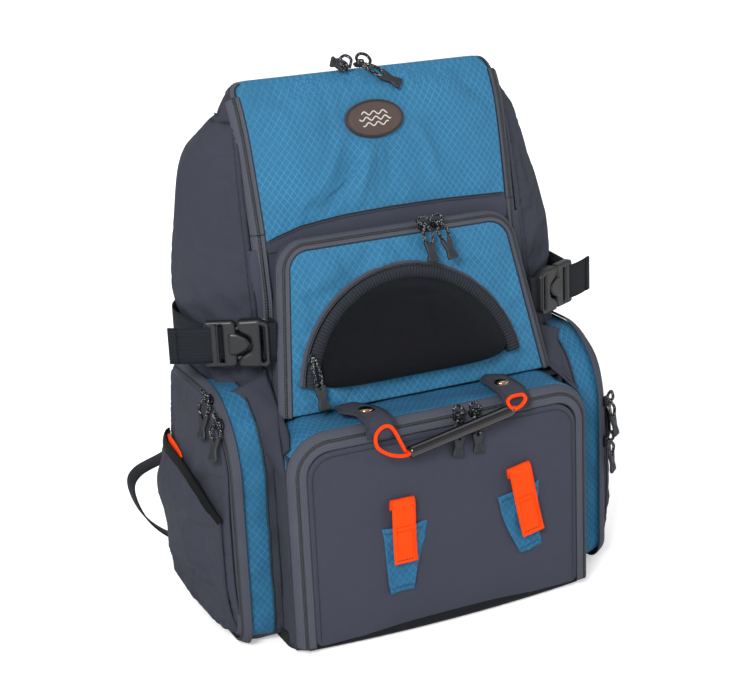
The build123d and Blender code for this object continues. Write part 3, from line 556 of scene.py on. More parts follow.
def plate(name, loops, thick, bevel, place, material, body, **more):
    """A flat moulded piece: outlines (holes included) extruded with rounded edges, then placed by a matrix."""
    cu = bpy.data.curves.new(name + "_outline", "CURVE")
    cu.dimensions = "2D"
    cu.fill_mode = "BOTH"
    cu.extrude = max(thick / 2 - bevel, 0.05)
    cu.bevel_depth = bevel
    cu.bevel_resolution = 2
    cu.offset = -bevel
    for loop in loops:
        sp = cu.splines.new("POLY")
        sp.points.add(len(loop) - 1)
        sp.points.foreach_set("co", np.c_[loop, np.zeros(len(loop)), np.ones(len(loop))].ravel())
        sp.use_cyclic_u = True
    tmp = bpy.data.objects.new(name + "_tmp", cu)
    bpy.context.scene.collection.objects.link(tmp)
    me = bpy.data.meshes.new_from_object(tmp.evaluated_get(bpy.context.evaluated_depsgraph_get()))
    co = np.array([v.co for v in me.vertices])
    faces = [tuple(p.vertices) for p in me.polygons]
    bpy.data.objects.remove(tmp)
    m = np.array(place)
    co = co @ m[:3, :3].T + m[:3, 3]
    ob = make(name, co, faces, material, body, smooth=False, **more)
    for p in ob.data.polygons:
        p.use_smooth = True
    mod = ob.modifiers.new("flat", "EDGE_SPLIT")
    mod.split_angle = math.radians(38)
    return ob


def placing(origin, x_dir, z_dir):
    x, z = unit(x_dir), unit(z_dir)
    x = unit(x - z * (x @ z))
    m = np.eye(4)
    m[:3, 0], m[:3, 1], m[:3, 2], m[:3, 3] = x, np.cross(z, x), z, origin
    return m


def stitches(name, path, normals, body, material=THREAD, length=3.0, gap=1.3, lift=0.25, thick=0.35):
    """A dashed line of thread along a path."""
    p = resample(
        np.c_[np.asarray(path, float), np.broadcast_to(normals, np.shape(path))], step=(length + gap) / 4
    )
    pos, nor = p[:, :3], unit(p[:, 3:])
    verts, faces = [], []
    for i in range(0, len(pos) - 3, 4):
        a, b = pos[i] + nor[i] * lift, pos[i + 3] + nor[i + 3] * lift
        t = unit(b - a)
        s = np.cross(t, nor[i])
        base = len(verts)
        for q, e in ((a, 0.0), ((a + b) / 2, thick), (b, 0.0)):
            verts += [q - s * thick, q + nor[i] * e, q + s * thick]
        for k in (0, 3):
            faces += [
                (base + k, base + k + 1, base + k + 4, base + k + 3),
                (base + k + 1, base + k + 2, base + k + 5, base + k + 4)
            ]
            faces += [(base + k + 2, base + k, base + k + 3, base + k + 5)]
    if not verts:
        return None
    return make(name, np.array(verts), faces, material, body)


def zip_line(name, path, normals, body, width=4.4):
    """The coil of a closed zip, ribbed, with a fine groove each side."""
    p = resample(np.c_[path, normals], step=0.7)
    n = len(p)
    s = np.arange(n) * 0.7
    ribs = 1 + 0.30 * np.sin(s * 2 * math.pi / 2.8)
    half = width / 2
    sec = np.array(
        [
            (-half, 0), (half, 0), (half * 0.85, 0.9), (half * 0.3, 1.5), (-half * 0.3, 1.5),
            (-half * 0.85, 0.9)
        ]
    )
    v, f, uv = swept(p[:, :3], p[:, 3:], sec, scale=np.stack([np.ones(n), ribs], 1))
    return make(name, v, f, COIL, body, uv=uv)


# ------------------------------------------------------------------ shared shapes
PROFILE = np.array([(-38, 229), (-25, 312), (-12, 397), (6, 480), (19, 515), (34, 537)], float)
PROFILE = curve(PROFILE, 2.0)
LEAN = math.radians(13.7)
DOOR_X, DOOR_UP = np.array([1.0, 0, 0]), np.array([0, math.sin(LEAN), math.cos(LEAN)])
DOOR_OUT = np.array([0, -math.cos(LEAN), math.sin(LEAN)])
DOOR_FOOT = np.array([0, -72.0, 229.0])
DOOR_HEIGHT = 161 / math.cos(LEAN)


def skin_y(z):
    return np.interp(z, PROFILE[:, 1], PROFILE[:, 0])


def skin_normal(z):
    k = np.gradient(PROFILE, axis=0)
    ny = np.interp(z, PROFILE[:, 1], -k[:, 1])
    nz = np.interp(z, PROFILE[:, 1], k[:, 0])
    return unit(np.stack([np.zeros_like(ny), ny, nz], -1))


def on_front(y0):
    return lambda u, v, h: np.stack([u, y0 - h, v], -1)


def on_skin(u, v, h):
    n = skin_normal(v)
    return np.stack([u, skin_y(v) + n[:, 1] * h, v + n[:, 2] * h], -1)


def on_door(u, v, h):
    return DOOR_FOOT + np.outer(u, DOOR_X) + np.outer(v, DOOR_UP) + np.outer(h, DOOR_OUT)


def arch(half_foot, half_head, foot, head, radius, step=3.0, closed=True):
    """Left foot, up, over and down: the same outline the CAD panels use."""
    pts = [(-half_foot, foot), (-half_head, head), (half_head, head), (half_foot, foot)]
    if closed:
        return rounded(pts, [0.0, radius, radius, 0.0], step)
    return rounded(pts, [0.0, radius, radius, 0.0], step, closed=False)


def as3(fn, pts2, h=0.0):
    return fn(pts2[:, 0], pts2[:, 1], np.full(len(pts2), float(h)))


def outward2(path2):
    """In-plane normals of an open path, on its left going from the left foot up and over."""
    t = unit(np.gradient(path2, axis=0))
    return np.stack([-t[:, 1], t[:, 0]], 1)


def zip_run(
    name, path, n, o, inner, outer, w_in=9.0, w_out=9.0, tilt_in=0.12, tilt_out=0.9, coil_body=None,
    node_in=(), mat_in=TAPE, mat_out=TAPE, edge_in=True
):
    """A closed zip: a tape on each side of a ribbed coil, each with its line of stitching."""
    p, n, o = (np.asarray(a, float) for a in (path, n, o))
    n = np.broadcast_to(n, p.shape)
    a_mid = p - o * (w_in / 2 + 0.7)
    b_dir = unit(o - n * tilt_out)
    b_mid = p + o * 0.8 + b_dir * (w_out / 2)
    na = unit(n + o * tilt_in)
    nb = unit(n + o * tilt_out)
    band(name + "_tape_in", a_mid + n * 0.1, na, w_in, 1.1, mat_in, inner, crown=0.35, node=node_in)
    band(name + "_tape_out", b_mid - n * 0.3, nb, w_out, 1.1, mat_out, outer, crown=0.35)
    zip_line(name + "_coil", p - n * 0.1, unit(n + o * tilt_out * 0.4), coil_body or inner, 3.6)
    if w_in > 5:
        stitches(name + "_stitch_in", a_mid - o * (w_in * 0.25) + na * 1.2, na, inner, THREAD, 2.4, 1.5)
    stitches(name + "_stitch_out", b_mid + b_dir * (w_out * 0.25) + nb * 0.85, nb, outer, THREAD, 2.4, 1.5)
    if edge_in:
        cord(name + "_piping_in", a_mid - o * (w_in / 2 + 0.2) + n * 0.3, 0.8, PIPING, inner)


# ------------------------------------------------------------------ lower compartment
def lower_compartment():
    foot = rounded([(-164, -108), (164, -108), (164, 104), (-164, 104)], 20, 4)
    fan_panel(
        "base_floor", foot, lambda u, v, h: np.stack([u, v, 4 - h], -1), lambda t, u,
        v: np.full(len(t), 4.0), 4, BLACK, "pack", back=0.0, node="base_panel"
    )
    ring = np.c_[foot, np.full(len(foot), 8.0)]
    out = np.c_[unit(np.stack([-np.gradient(foot[:, 1]), np.gradient(foot[:, 0])], 1)), np.zeros(len(foot))]
    if np.sum(out[:, :2] * (foot - foot.mean(0))) < 0:
        out = -out
    band("base_skirt", ring, out, 16, 1.6, BLACK, "pack", closed=True, crown=0.6)
    line = np.stack(
        [np.linspace(-152, 152, 80), -111.0 - 9.0 * (1 - np.linspace(-1, 1, 80) ** 2), np.full(80, 6.5)], 1
    )
    cord("base_roll", line, 5.4, BLACK, "pack")

    over = arch(165, 165, 4, 226, 38, 3.0, closed=False)
    top = over[over[:, 1] > 196]
    ys = np.linspace(-110, -34, 26)
    grid = np.array([[(x, y, z) for x, z in top] for y in ys])
    w = ripple(grid.reshape(-1, 3), 40, 3).reshape(grid.shape[:2])
    grid[:, :, 2] += (grid[:, :, 1] + 90) * 0.05 + w * 1.3
    grid_sheet("shelf_top", grid, 2.4, BLUE_SHADED, "pack", inward=(0, -90, 100), node="shelf_panel")
    for sg, side in ((-1, "left"), (1, "right")):
        zs, yy = np.linspace(4, 206, 34), np.linspace(-110, 103.5, 44)
        g = np.array([[(sg * 165.2, y, z) for y in yy] for z in zs])
        over_z = np.interp(g[:, :, 2], [188, 206], [0, 4.7])
        w = ripple(g.reshape(-1, 3), 60, 5 + sg).reshape(g.shape[:2])
        g[:, :, 0] += sg * (w * 0.9 - np.where(yy[None] < -60, over_z, 0))
        grid_sheet(
            f"tackle_wall_{side}", g, 2.6, GREY_SHADED, "pack", inward=(0, 0, 100),
            node="tackle_side_walls" if sg < 0 else ()
        )
        rear = curve([(165.4, 97, 0), (165.3, 102.0, 0), (162.5, 105.0, 0), (156.0, 105.6, 0)], 1.0)
        g = np.array([[(sg * x, y, z) for x, y, _ in rear] for z in np.linspace(2, 231, 20)])
        grid_sheet(f"tackle_rear_corner_{side}", g, 2.0, BLACK, "pack", inward=(0, 40, 110))
        zs = np.linspace(200, 228, 6)
        g = np.array([[(sg * 164, y, z) for y in np.linspace(-71, 103, 20)] for z in zs])
        grid_sheet(f"tackle_shoulder_{side}", g, 2.6, GREY_SHADED, "pack", inward=(0, 0, 100))
        levels = [
            (184, 165.3, -109, 165.4, -74),
            (198, 165.6, -107, 168, -66),
            (210, 164.2, -100, 172, -56),
            (221, 160.5, -89, 176, -44),
            (228, 156.0, -78, 178, -34),
            (236, 151.5, -65, 182, -24),
            (246, 150.0, -50, 187, -14),
            (258, 149.6, -38, 191, -5),
            (270, 149.4, -30, 194, 2),
        ]
        lv = curve(np.array(levels, float), 2.0)
        rows = []
        for z, fx, fy, rx, ry in lv:
            r = np.linspace(0, 1, 22)
            bulge = 3.2 * np.sin(r * math.pi) * np.clip((z - 184) / 20, 0, 1)
            rows.append(
                np.stack([sg * (fx + (rx - fx) * r**1.6 + bulge), fy + (ry - fy) * r, np.full(22, z)], 1)
            )
        g = np.array(rows)
        w = ripple(g.reshape(-1, 3) * np.array([1, 1, 0.5]), 26, 15 + sg).reshape(g.shape[:2])
        g[:, :, 0] += sg * w * 1.1 * np.clip((g[:, :, 2] - 184) / 20, 0, 1)
        grid_sheet(f"shoulder_cloth_{side}", g, 2.0, GREY_SHADED, "pack", inward=(sg * 100, 0, 200))
        near = [
            (160, -108, 214), (155, -98, 221), (151, -84, 227), (148.5, -70, 232), (148, -56, 242),
            (148, -44, 253), (148.5, -34, 266)
        ]
        far = [
            (166, -84, 184), (168, -80, 198), (170, -75, 211), (173, -67, 222), (177, -58, 232),
            (183, -46, 242), (190, -32, 252)
        ]
        near, far = (resample(curve(np.array(q, float), 2.0), count=40) for q in (near, far))
        r = np.linspace(0, 1, 16)[None, :, None]
        g = near[:, None] * (1 - r) + far[:, None] * r + np.array([1.6, -1.6, 1.2]) * np.sin(r * math.pi)
        g = g * np.array([sg, 1, 1])
        g[:, :, 1] += 0.8 * ripple(g.reshape(-1, 3), 20, 25 + sg).reshape(g.shape[:2])
        grid_sheet(f"shoulder_fill_{side}", g, 2.0, GREY_SHADED, "pack", inward=(sg * 140, 0, 200))
    for node, material in (("compartment_divider", LINING), ("frame_sheet", PLASTIC)):
        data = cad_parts[node].data
        data.materials.clear()
        data.materials.append(material)


def tackle_flap():
    inner = rounded([(-148, 8), (-148, 208), (148, 208), (148, 8)], [8, 26, 26, 8], 3.0)

    def rise(t, u, v):
        w = ripple(np.stack([u, v], 1), 80, 21)
        return 0.3 + 1.9 * (1 - t**6) + 0.5 * w * (1 - t**4)

    fan_panel(
        "tackle_flap_face", inner, on_front(-121.4), rise, 3, GREY, "tackle_flap", back=-3.0,
        node="tackle_flap_panel"
    )
    path = arch(157.5, 157.5, 8, 218.5, 33, 2.0, closed=False)
    o2 = outward2(path)
    p = as3(on_front(-121.0), path)
    o = np.stack([o2[:, 0], np.zeros(len(o2)), o2[:, 1]], 1)
    zip_run(
        "tackle_zip", p, (0, -1, 0), o, "tackle_flap", "pack", w_in=8.5, w_out=11, tilt_out=1.5,
        node_in="tackle_flap_zip_tape"
    )
    seam = rounded([(-143, 12), (-143, 203), (143, 203), (143, 12)], [8, 22, 22, 8], 3.0, closed=False)
    stitches(
        "tackle_flap_stitch", as3(on_front(-121.4), seam, 1.3), (0, -1, 0), "tackle_flap", THREAD, 2.2, 1.6
    )


def tool_holders():
    holders = {"left": ((-52, 82), (-52, 112), 66, 0.0), "right": ((85, 93), (85, 115), 76, 11.0)}
    first = True
    for side, (sleeve, tab, length, lean) in holders.items():
        a = math.radians(lean)
        ex, ez = np.array([math.cos(a), 0, math.sin(a)]), np.array([-math.sin(a), 0, math.cos(a)])
        base = np.array([sleeve[0], -123.9, sleeve[1]])
        rows, cols = np.linspace(-1, 1, 26), np.linspace(-1, 1, 22)
        g = np.zeros((26, 22, 3))
        for i, r in enumerate(rows):
            half = np.interp(r, [-1, -0.55, 0.55, 1], [13, 15, 22, 24.5])
            for j, c in enumerate(cols):
                open_up = 2.6 * max(0.0, r) ** 2 * (1 - c * c) + 1.2 * math.sin(3.1 * c + 2 * r + lean) * (
                    0.4 + 0.6 * abs(r)
                )
                skew = 3.0 * math.sin(1.8 * r + lean)
                g[i, j] = base + ex * (c * half + skew) + ez * (r * 35) - np.array([0, 1.4 + open_up, 0])
        w = ripple(g.reshape(-1, 3), 17, 40 + int(lean)).reshape(26, 22)
        g[:, :, 1] -= 0.8 * w
        g[:, :, 1] = np.minimum(g[:, :, 1], -124.1)
        grid_sheet(
            f"tool_sleeve_{side}", g, 0.9, BLUE_SHADED, "tackle_flap", inward=base + np.array([0, 40, 0]),
            node="tool_sleeves" if first else ()
        )
        first = False
        stitches(
            f"sleeve_stitch_{side}", g[2, 1:-1] - np.array([0, 0.3, 0]), (0, -1, 0), "tackle_flap",
            THREAD_BLUE
        )
        stitches(
            f"sleeve_hem_{side}", g[-3, 1:-1] - np.array([0, 0.3, 0]), (0, -1, 0), "tackle_flap",
            THREAD_BLUE
        )
        mid = np.array([tab[0], 0, tab[1]])
        body = f"{side}_tool_tab"
        pts = [
            mid + ez * (length / 2 - 10) + np.array([0, -124.6, 0]),
            mid + ez * (length / 2 - 3) + np.array([0, -125.0, 0]),
            mid + ez * (length / 2 + 0.6) + np.array([0, -126.8, 0]),
            mid + ez * (length / 2 - 4) + np.array([0, -129.0, 0]),
            mid + ez * (length / 2 - 20) + np.array([0, -128.7, 0]),
            mid - ez * (length / 2 - 24) + np.array([0, -128.6, 0]),
            mid - ez * (length / 2 - 1) + np.array([0, -130.0, 0]),
        ]
        path = curve(pts, 1.2)
        nor = unit(np.cross(unit(np.gradient(path, axis=0)), ex))
        if nor[-1] @ np.array([0, -1, 0]) < 0:
            nor = -nor
        band(f"{side}_orange_tab", path, nor, 25, 1.6, ORANGE, body, node=f"tool_tab_{side}")
        stitched = [path[int(len(path) * 0.55)], path[int(len(path) * 0.93)]]
        for k, s in enumerate((-8.5, 8.5)):
            line = np.linspace(stitched[0] + ex * s, stitched[1] + ex * s, 12) - np.array([0, 1.7, 0])
            stitches(f"{side}_tab_side_{k}", line, (0, -1, 0), body, ORANGE, 2.6, 1.2)
        for k, q in enumerate((0.5, 0.57, 0.94)):
            c = path[int(len(path) * q)] - np.array([0, 1.75, 0])
            stitches(
                f"{side}_tab_bar_{k}", np.linspace(c - ex * 10, c + ex * 10, 10), (0, -1, 0), body,
                THREAD if k == 2 else ORANGE, 2.2, 0.9
            )


def handle():
    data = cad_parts["snap_studs"].data
    data.materials.clear()
    data.materials.append(SNAP)
    tabs = {
        "left": [
            (-73, -130.0, 215), (-72.5, -129.6, 221), (-72, -126.0, 227.5), (-72.5, -119, 231.4),
            (-75, -104, 232.6), (-84, -90, 233.0), (-97, -76, 232.4)
        ],
        "right": [
            (76, -130.0, 215), (76, -129.6, 221), (75.5, -126.0, 227.5), (75.2, -119, 231.4),
            (75, -103, 232.6), (74.5, -88, 233.2), (73, -70, 232.4)
        ],
    }
    for side, pts in tabs.items():
        sg = -1 if side == "left" else 1
        path = curve(pts, 1.0)
        s = np.linspace(0, 1, len(path))
        wide = np.interp(s, [0, 0.05, 0.15, 0.82, 1.0], [0.8, 0.95, 1.0, 1.0, 0.06])
        t = unit(np.gradient(path, axis=0))
        side_dir = unit(np.cross(t, (0, 0, 1.0)) + np.array([1e-3, 0, 0]))
        nor = unit(np.cross(side_dir, t))
        flat = np.array([0, -1.0, 0.15])
        nor = np.where(np.abs(t[:, 2:]) > 0.9, flat, nor)
        nor = np.array([k if (k @ np.array([0, -0.6, 1.0])) > 0 else -k for k in nor])
        band(
            f"handle_tab_{side}", path, nor, 30, 2.4, GREY_SHADED, "tackle_flap", crown=0.5,
            scale=np.stack([wide, np.ones(len(s))], 1), node="handle_tabs" if sg < 0 else ()
        )
        under = path[: int(len(path) * 0.45)] - nor[: int(len(path) * 0.45)] * 2.6
        band(f"handle_tab_under_{side}", under, nor[: len(under)], 29, 2.2, GREY_SHADED, "tackle_flap")
        across = unit(np.cross(t, nor))
        for k, e in enumerate((-1, 1)):
            line = path + nor * 2.6 + across * (wide * e * 12.0)[:, None]
            stitches(f"handle_tab_{side}_stitch_{k}", line[:-6], nor[:-6], "tackle_flap", THREAD)
        for part, h, r in (("rim", 0.9, 9.9), ("dome", 3.2, 7.8)):
            a = np.linspace(0, 2 * math.pi, 40, endpoint=False)
            outline = np.stack([np.cos(a), np.sin(a)], 1) * r
            place = lambda u, v, q, x=sg * 75.0: np.stack([x + u, -101 + v, 234.8 + q], -1)
            fan_panel(
                f"snap_{side}_{part}", outline, place, lambda t, u, v, h=h: h * (1 - t**2.6) ** 0.5 + 0.2,
                1, SNAP, "tackle_flap", rings=10, node="snap_caps" if (part == "rim" and sg < 0) else ()
            )
    slope = math.radians(10.8)
    along = np.array([math.cos(slope), 0, math.sin(slope)])
    left = np.array([-46, -135.0, 196])
    right = left + along * 115
    tube = np.linspace(0, 1, 40)[:, None] * (right - left) + left
    cord("handle_tube_skin", tube, 6.3, TUBE, "carry_handle", node="handle_tube")
    loops = {
        "left": [left + along * 14 + (0, 1.6, 0), left + along * 3 + (0, 1.6, 0), left - along * 3 + (0, 1.2, 2),
                 (-54.5, -134.4, 208), (-60.0, -133.6, 220), (-65, -132.4, 226.0), (-73, -132.2, 225.5),
                 (-80, -133.8, 219), (-80, -136.0, 209), (-72, -137.4, 201.5), (-61, -137.6, 196.5),
                 left - along * 4 + (0, -1.8, -0.6), left + along * 3 + (0, -1.6, 0), left + along * 14 + (0, -1.6, 0)],
        "right": [right - along * 14 + (0, -1.6, 0), right - along * 2 + (0, -1.6, 0), right + along * 4 + (0, -2.2, 0.5),
                  (77, -137.0, 221), (82.5, -135.6, 226), (81, -133.4, 230), (75, -132.4, 230.5),
                  (68, -132.6, 230.0), (63.5, -134.0, 227.5), (63, -137.2, 224.0), (65, -138.6, 221.0),
                  right + along * 2.5 + (0, -1.4, 2.0), right + along * 1.5 + (0, 1.4, 0), right - along * 12 + (0, 1.6, 0)],
    }
    for side, pts in loops.items():
        path = curve([np.asarray(q, float) for q in pts], 1.0)
        cord(
            f"handle_cord_{side}", path, 1.9, ORANGE_CORD, "carry_handle",
            node="handle_cord" if side == "left" else ()
        )


# ------------------------------------------------------------------ upper compartment
def seam_z(x):
    return np.interp(x, [-140, -125, -95, -50, 0, 60, 140], [387, 393, 401, 405.5, 407, 407, 404])


def creases(u, v, lines):
    """Folds along straight lines: (from x, from z, to x, to z, width, height)."""
    out = np.zeros(len(u))
    for x0, z0, x1, z1, width, high in lines:
        dx, dz = x1 - x0, z1 - z0
        long = math.hypot(dx, dz)
        s = ((u - x0) * dx + (v - z0) * dz) / long**2
        d = ((u - x0) * dz - (v - z0) * dx) / long + 4.0 * np.sin(s * 4.0)
        out += high * np.exp(-((d / width) ** 2)) * np.exp(-(((s - 0.5) / 0.5) ** 4))
    return out


def main_flap():
    xs = np.linspace(-133.5, 133.5, 60)
    low = np.stack([xs, seam_z(xs)], 1)
    up = rounded(
        [(-133.5, 400), (-138.5, 538), (138.5, 538), (133.5, 404)], [0, 15, 15, 0], 3.0, closed=False
    )
    outline = np.vstack([low, up[::-1][1:-1]])
    outline = resample(outline, 3.0, closed=True)
    folds = [
        (-40, 478, -96, 412, 8, 2.6),
        (-24, 468, -66, 420, 7, -2.4),
        (-16, 474, -34, 412, 8, 2.8),
        (4, 470, 6, 424, 7, -2.0),
        (30, 482, 62, 440, 8, 2.2),
        (44, 486, 104, 452, 8, -2.0),
        (-60, 500, -118, 480, 8, 1.6),
        (60, 505, 120, 498, 9, 1.5),
        (-110, 520, -90, 440, 12, 1.4),
    ]

    def rise(t, u, v):
        w = ripple(np.stack([u, v * 0.7], 1), 58, 31)
        near = np.exp(-(((u + 3) / 36) ** 4 + ((v - 493) / 24) ** 4))
        soft = (1 - t**4) * (1 - near)
        return 0.8 + 2.0 * (1 - t**6) + (1.7 * creases(u, v, folds) + 0.9 * w) * soft

    def hold(u, v):
        return np.where(((u + 3) / 34) ** 2 + ((v - 493) / 22) ** 2 < 1, 1.0, 0.0)

    fan_panel("main_flap_face", outline, on_skin, rise, 3, BLUE, "main_flap", centre=(0, 468), rings=34, ease=1.25, back=-3.0,
              node="main_flap_panel",
              cloth={"grow": 0.012, "pressure": 1.5, "cap": 4.0, "bend": 0.15}, hold=hold)
    xs = 141.5 * np.sin(np.linspace(-1, 1, 110) * math.pi / 2)
    prof = curve([(31.0, 531.5), (33.2, 536.0), (37.0, 539.6), (41.0, 540.0), (47.0, 536.6)], 1.0)
    g = np.zeros((len(prof), 110, 3))
    end = np.clip((np.abs(xs) - 124) / 18, 0, 1)
    drop = 18 * (1 - np.sqrt(np.maximum(1 - end**2, 0)))
    for i, (y, z) in enumerate(prof):
        g[i] = np.stack([xs, y - 1.0 - 5 * end * i / len(prof), z - drop], 1)
    grid_sheet("main_flap_crown", g, 2.0, BLUE, "main_flap", inward=(0, 80, 500))
    rows = np.linspace(0, 1, 16)
    cols = np.linspace(-139.5, 139.5, 90)
    g = np.zeros((16, 90, 3))
    for i, r in enumerate(rows):
        z = 380 + (seam_z(cols) + 1.5 - 380) * r
        g[i] = on_skin(cols, z, np.full(90, 0.9) + 0.5 * np.sin(r * math.pi))
    ob = grid_sheet("main_flap_fold", g, 2.0, GREY, "pack", inward=(0, 100, 380), ride=False)
    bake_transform(ob)
    seam = np.stack([cols[3:-3], seam_z(cols[3:-3]) - 2.2], 1)
    stitches("seam_stitch", as3(on_skin, seam, 1.6), skin_normal(seam[:, 1]), "main_flap", THREAD)
    cord("seam_piping", as3(on_skin, seam + (0, 2.4), 1.0), 0.8, PIPING, "main_flap")

    for sg, side in ((-1, "left"), (1, "right")):
        zs = np.arange(398.5, 527, 2.0)
        rim = np.stack([sg * np.interp(zs, [398, 530], [138.8, 142.0]), zs], 1)
        zips_on_skin(
            f"main_zip_{side}", rim if sg < 0 else rim[::-1], "main_flap",
            node_in="main_flap_zip_tape" if sg < 0 else ()
        )
        zs = np.arange(308, 399.5, 2.0)
        low = np.stack([sg * (139 + 5 * np.clip((340 - zs) / 40, 0, 1) ** 2), zs], 1)
        zips_on_skin(f"main_zip_foot_{side}", low if sg < 0 else low[::-1], "pack")
        c = as3(on_skin, np.array([[sg * 143.5, 307.0]]), 1.5)[0]
        band(
            f"bar_tack_{side}", np.array([c + (-5, 0, 0), c, c + (5, 0, 0)]), (0, -1, 0.1), 3.0, 1.0,
            THREAD, "pack"
        )
    over = rounded(
        [(-142.0, 516), (-142.0, 537.8), (142.0, 537.8), (142.0, 516)], [0, 17, 17, 0], 2.0, closed=False
    )
    y = np.interp(
        np.abs(over[:, 0]), [0, 120, 143], [45.5, 44.5, 37]
    ) - np.clip((534 - over[:, 1]) / 18, 0, 1) * 12
    p = np.stack([over[:, 0], y, over[:, 1]], 1)
    o2 = outward2(over)
    flat = np.clip(over[:, 1:] - 530, 0, 8) / 8
    n = unit(
        np.concatenate(
            [o2[:, :1] * 0.6, np.full((len(p), 1), -0.35), o2[:, 1:]], 1
        ) * np.array([1, 1, 1]) + (1 - flat) * np.array([0, -0.6, 0])
    )
    rear = unit(np.stack([o2[:, 0] * 0.6, np.full(len(p), 0.9), o2[:, 1] * 0.05], 1))
    zip_run(
        "main_zip_crown", p, n, rear, "main_flap", "pack", w_in=5.0, w_out=8.0, tilt_in=0.1, tilt_out=0.9
    )


def zips_on_skin(name, path, inner, node_in=()):
    o2 = outward2(path)
    n = skin_normal(path[:, 1])
    up = np.stack([np.zeros(len(n)), n[:, 2], -n[:, 1]], 1)
    o = o2[:, :1] * np.array([[1.0, 0, 0]]) + o2[:, 1:] * up
    p = as3(on_skin, path, 0.3)
    zip_run(name, p, n, o, inner, "pack", w_in=5.0, w_out=9.0, tilt_in=0.5, tilt_out=1.2, node_in=node_in)


def badge():
    n = skin_normal(np.array([493.0]))[0]
    up = np.array([0, n[2], -n[1]])
    c = on_skin(np.array([-3.0]), np.array([493.0]), np.array([5.0]))[0]
    a = np.linspace(0, 2 * math.pi, 96, endpoint=False)
    place = lambda u, v, h: c + np.outer(u, (1, 0, 0)) + np.outer(v, up) + np.outer(h, n)
    outline = np.stack([31.5 * np.cos(a), 19.0 * np.sin(a)], 1)
    fan_panel(
        "badge_face", outline, place, lambda t, u,
        v: 1.6 * (1 - t**10) ** 0.5 + 0.15 - 0.5 * np.exp(-(((t - 0.88) / 0.03) ** 2)), 2, LEATHER,
        "main_flap", rings=22, ease=1.2, back=-3.5, node="badge"
    )
    ring = place(30.2 * np.cos(a), 17.7 * np.sin(a), np.full(96, 1.3))
    cord("badge_rim", ring[np.r_[0:96, 0]], 0.9, LEATHER_RIM, "main_flap")
    for k, y in enumerate((-5.5, 0.0, 5.5)):
        xs = np.linspace(-17 + 3 * abs(k - 1), 17 - 3 * abs(k - 1), 60)
        line = place(xs, y + 1.7 * np.sin(xs * 0.62 + k), np.full(60, 1.75))
        cord(f"badge_wave_{k}", line, 0.65, BADGE_LINE, "main_flap")


def top_panel():
    rise = (476 - 537) / (103.7 - 34)
    ys, xs = np.linspace(46, 104.5, 24), np.linspace(-147, 147, 66)
    g = np.zeros((24, 66, 3))
    for i, y in enumerate(ys):
        drop = 10 * np.abs(xs / 147) ** 7 + 9 * np.clip((np.abs(xs) - 118) / 28, 0, 1) ** 2 * (1 - (y - 41) / 64)
        sag = 2.0 * math.sin((y - 41) / 64 * math.pi)
        full = 13.5 * 0.5 * (1 + math.cos(math.pi * np.clip((y - 52) / 33, 0, 1)))
        top = min(537 + rise * (y - 34) + sag + full, 535.5)
        g[i] = np.stack([xs * (1 - 0.02 * (y - 41) / 64), np.full(66, y), top - drop], 1)
    g[:, :, 2] += 0.9 * ripple(g.reshape(-1, 3), 50, 9).reshape(24, 66)
    grid_sheet("top_cloth", g, 2.6, BLUE, "pack", inward=(0, 60, 300), node="top_panel")
    for sg in (-1, 1):
        y = np.linspace(44, 104, 20)
        edge = np.stack([np.full(20, sg * 145.0), y, 537 + rise * (y - 34) - 9], 1)
        cord(f"top_piping_{'left' if sg < 0 else 'right'}", edge, 1.2, PIPING, "pack")


SLICES = [
    (224, 152, -36, 183, 18, 160, 103.7),
    (290, 149, -25, 198, 12, 153, 103.7),
    (350, 148, -15, 195, 14, 149, 103.7),
    (430, 147, 0, 183, 20, 146, 103.7),
    (475, 146, 9, 171, 28, 140, 103.7),
    (510, 144, 22, 156, 38, 137, 64),
    (529, 140, 31, 145, 36, 137, 44),
]


def arc3(a, b, c, n):
    """Points on the circle through three plan points."""
    (ax, ay), (bx, by), (cx, cy) = a, b, c
    d = 2 * (ax * (by - cy) + bx * (cy - ay) + cx * (ay - by))
    ux = (
        (ax * ax + ay * ay) * (by - cy) + (bx * bx + by * by) * (cy - ay) + (cx * cx + cy * cy) * (ay - by)
    ) / d
    uy = (
        (ax * ax + ay * ay) * (cx - bx) + (bx * bx + by * by) * (ax - cx) + (cx * cx + cy * cy) * (bx - ax)
    ) / d
    r = math.hypot(ax - ux, ay - uy)
    t0, t1, t2 = (math.atan2(y - uy, x - ux) for x, y in (a, b, c))
    span = (t2 - t0) % (2 * math.pi)
    if (t1 - t0) % (2 * math.pi) > span:
        span -= 2 * math.pi
    t = t0 + span * np.linspace(0, 1, n)
    return np.stack([ux + r * np.cos(t), uy + r * np.sin(t)], 1), np.array([ux, uy])


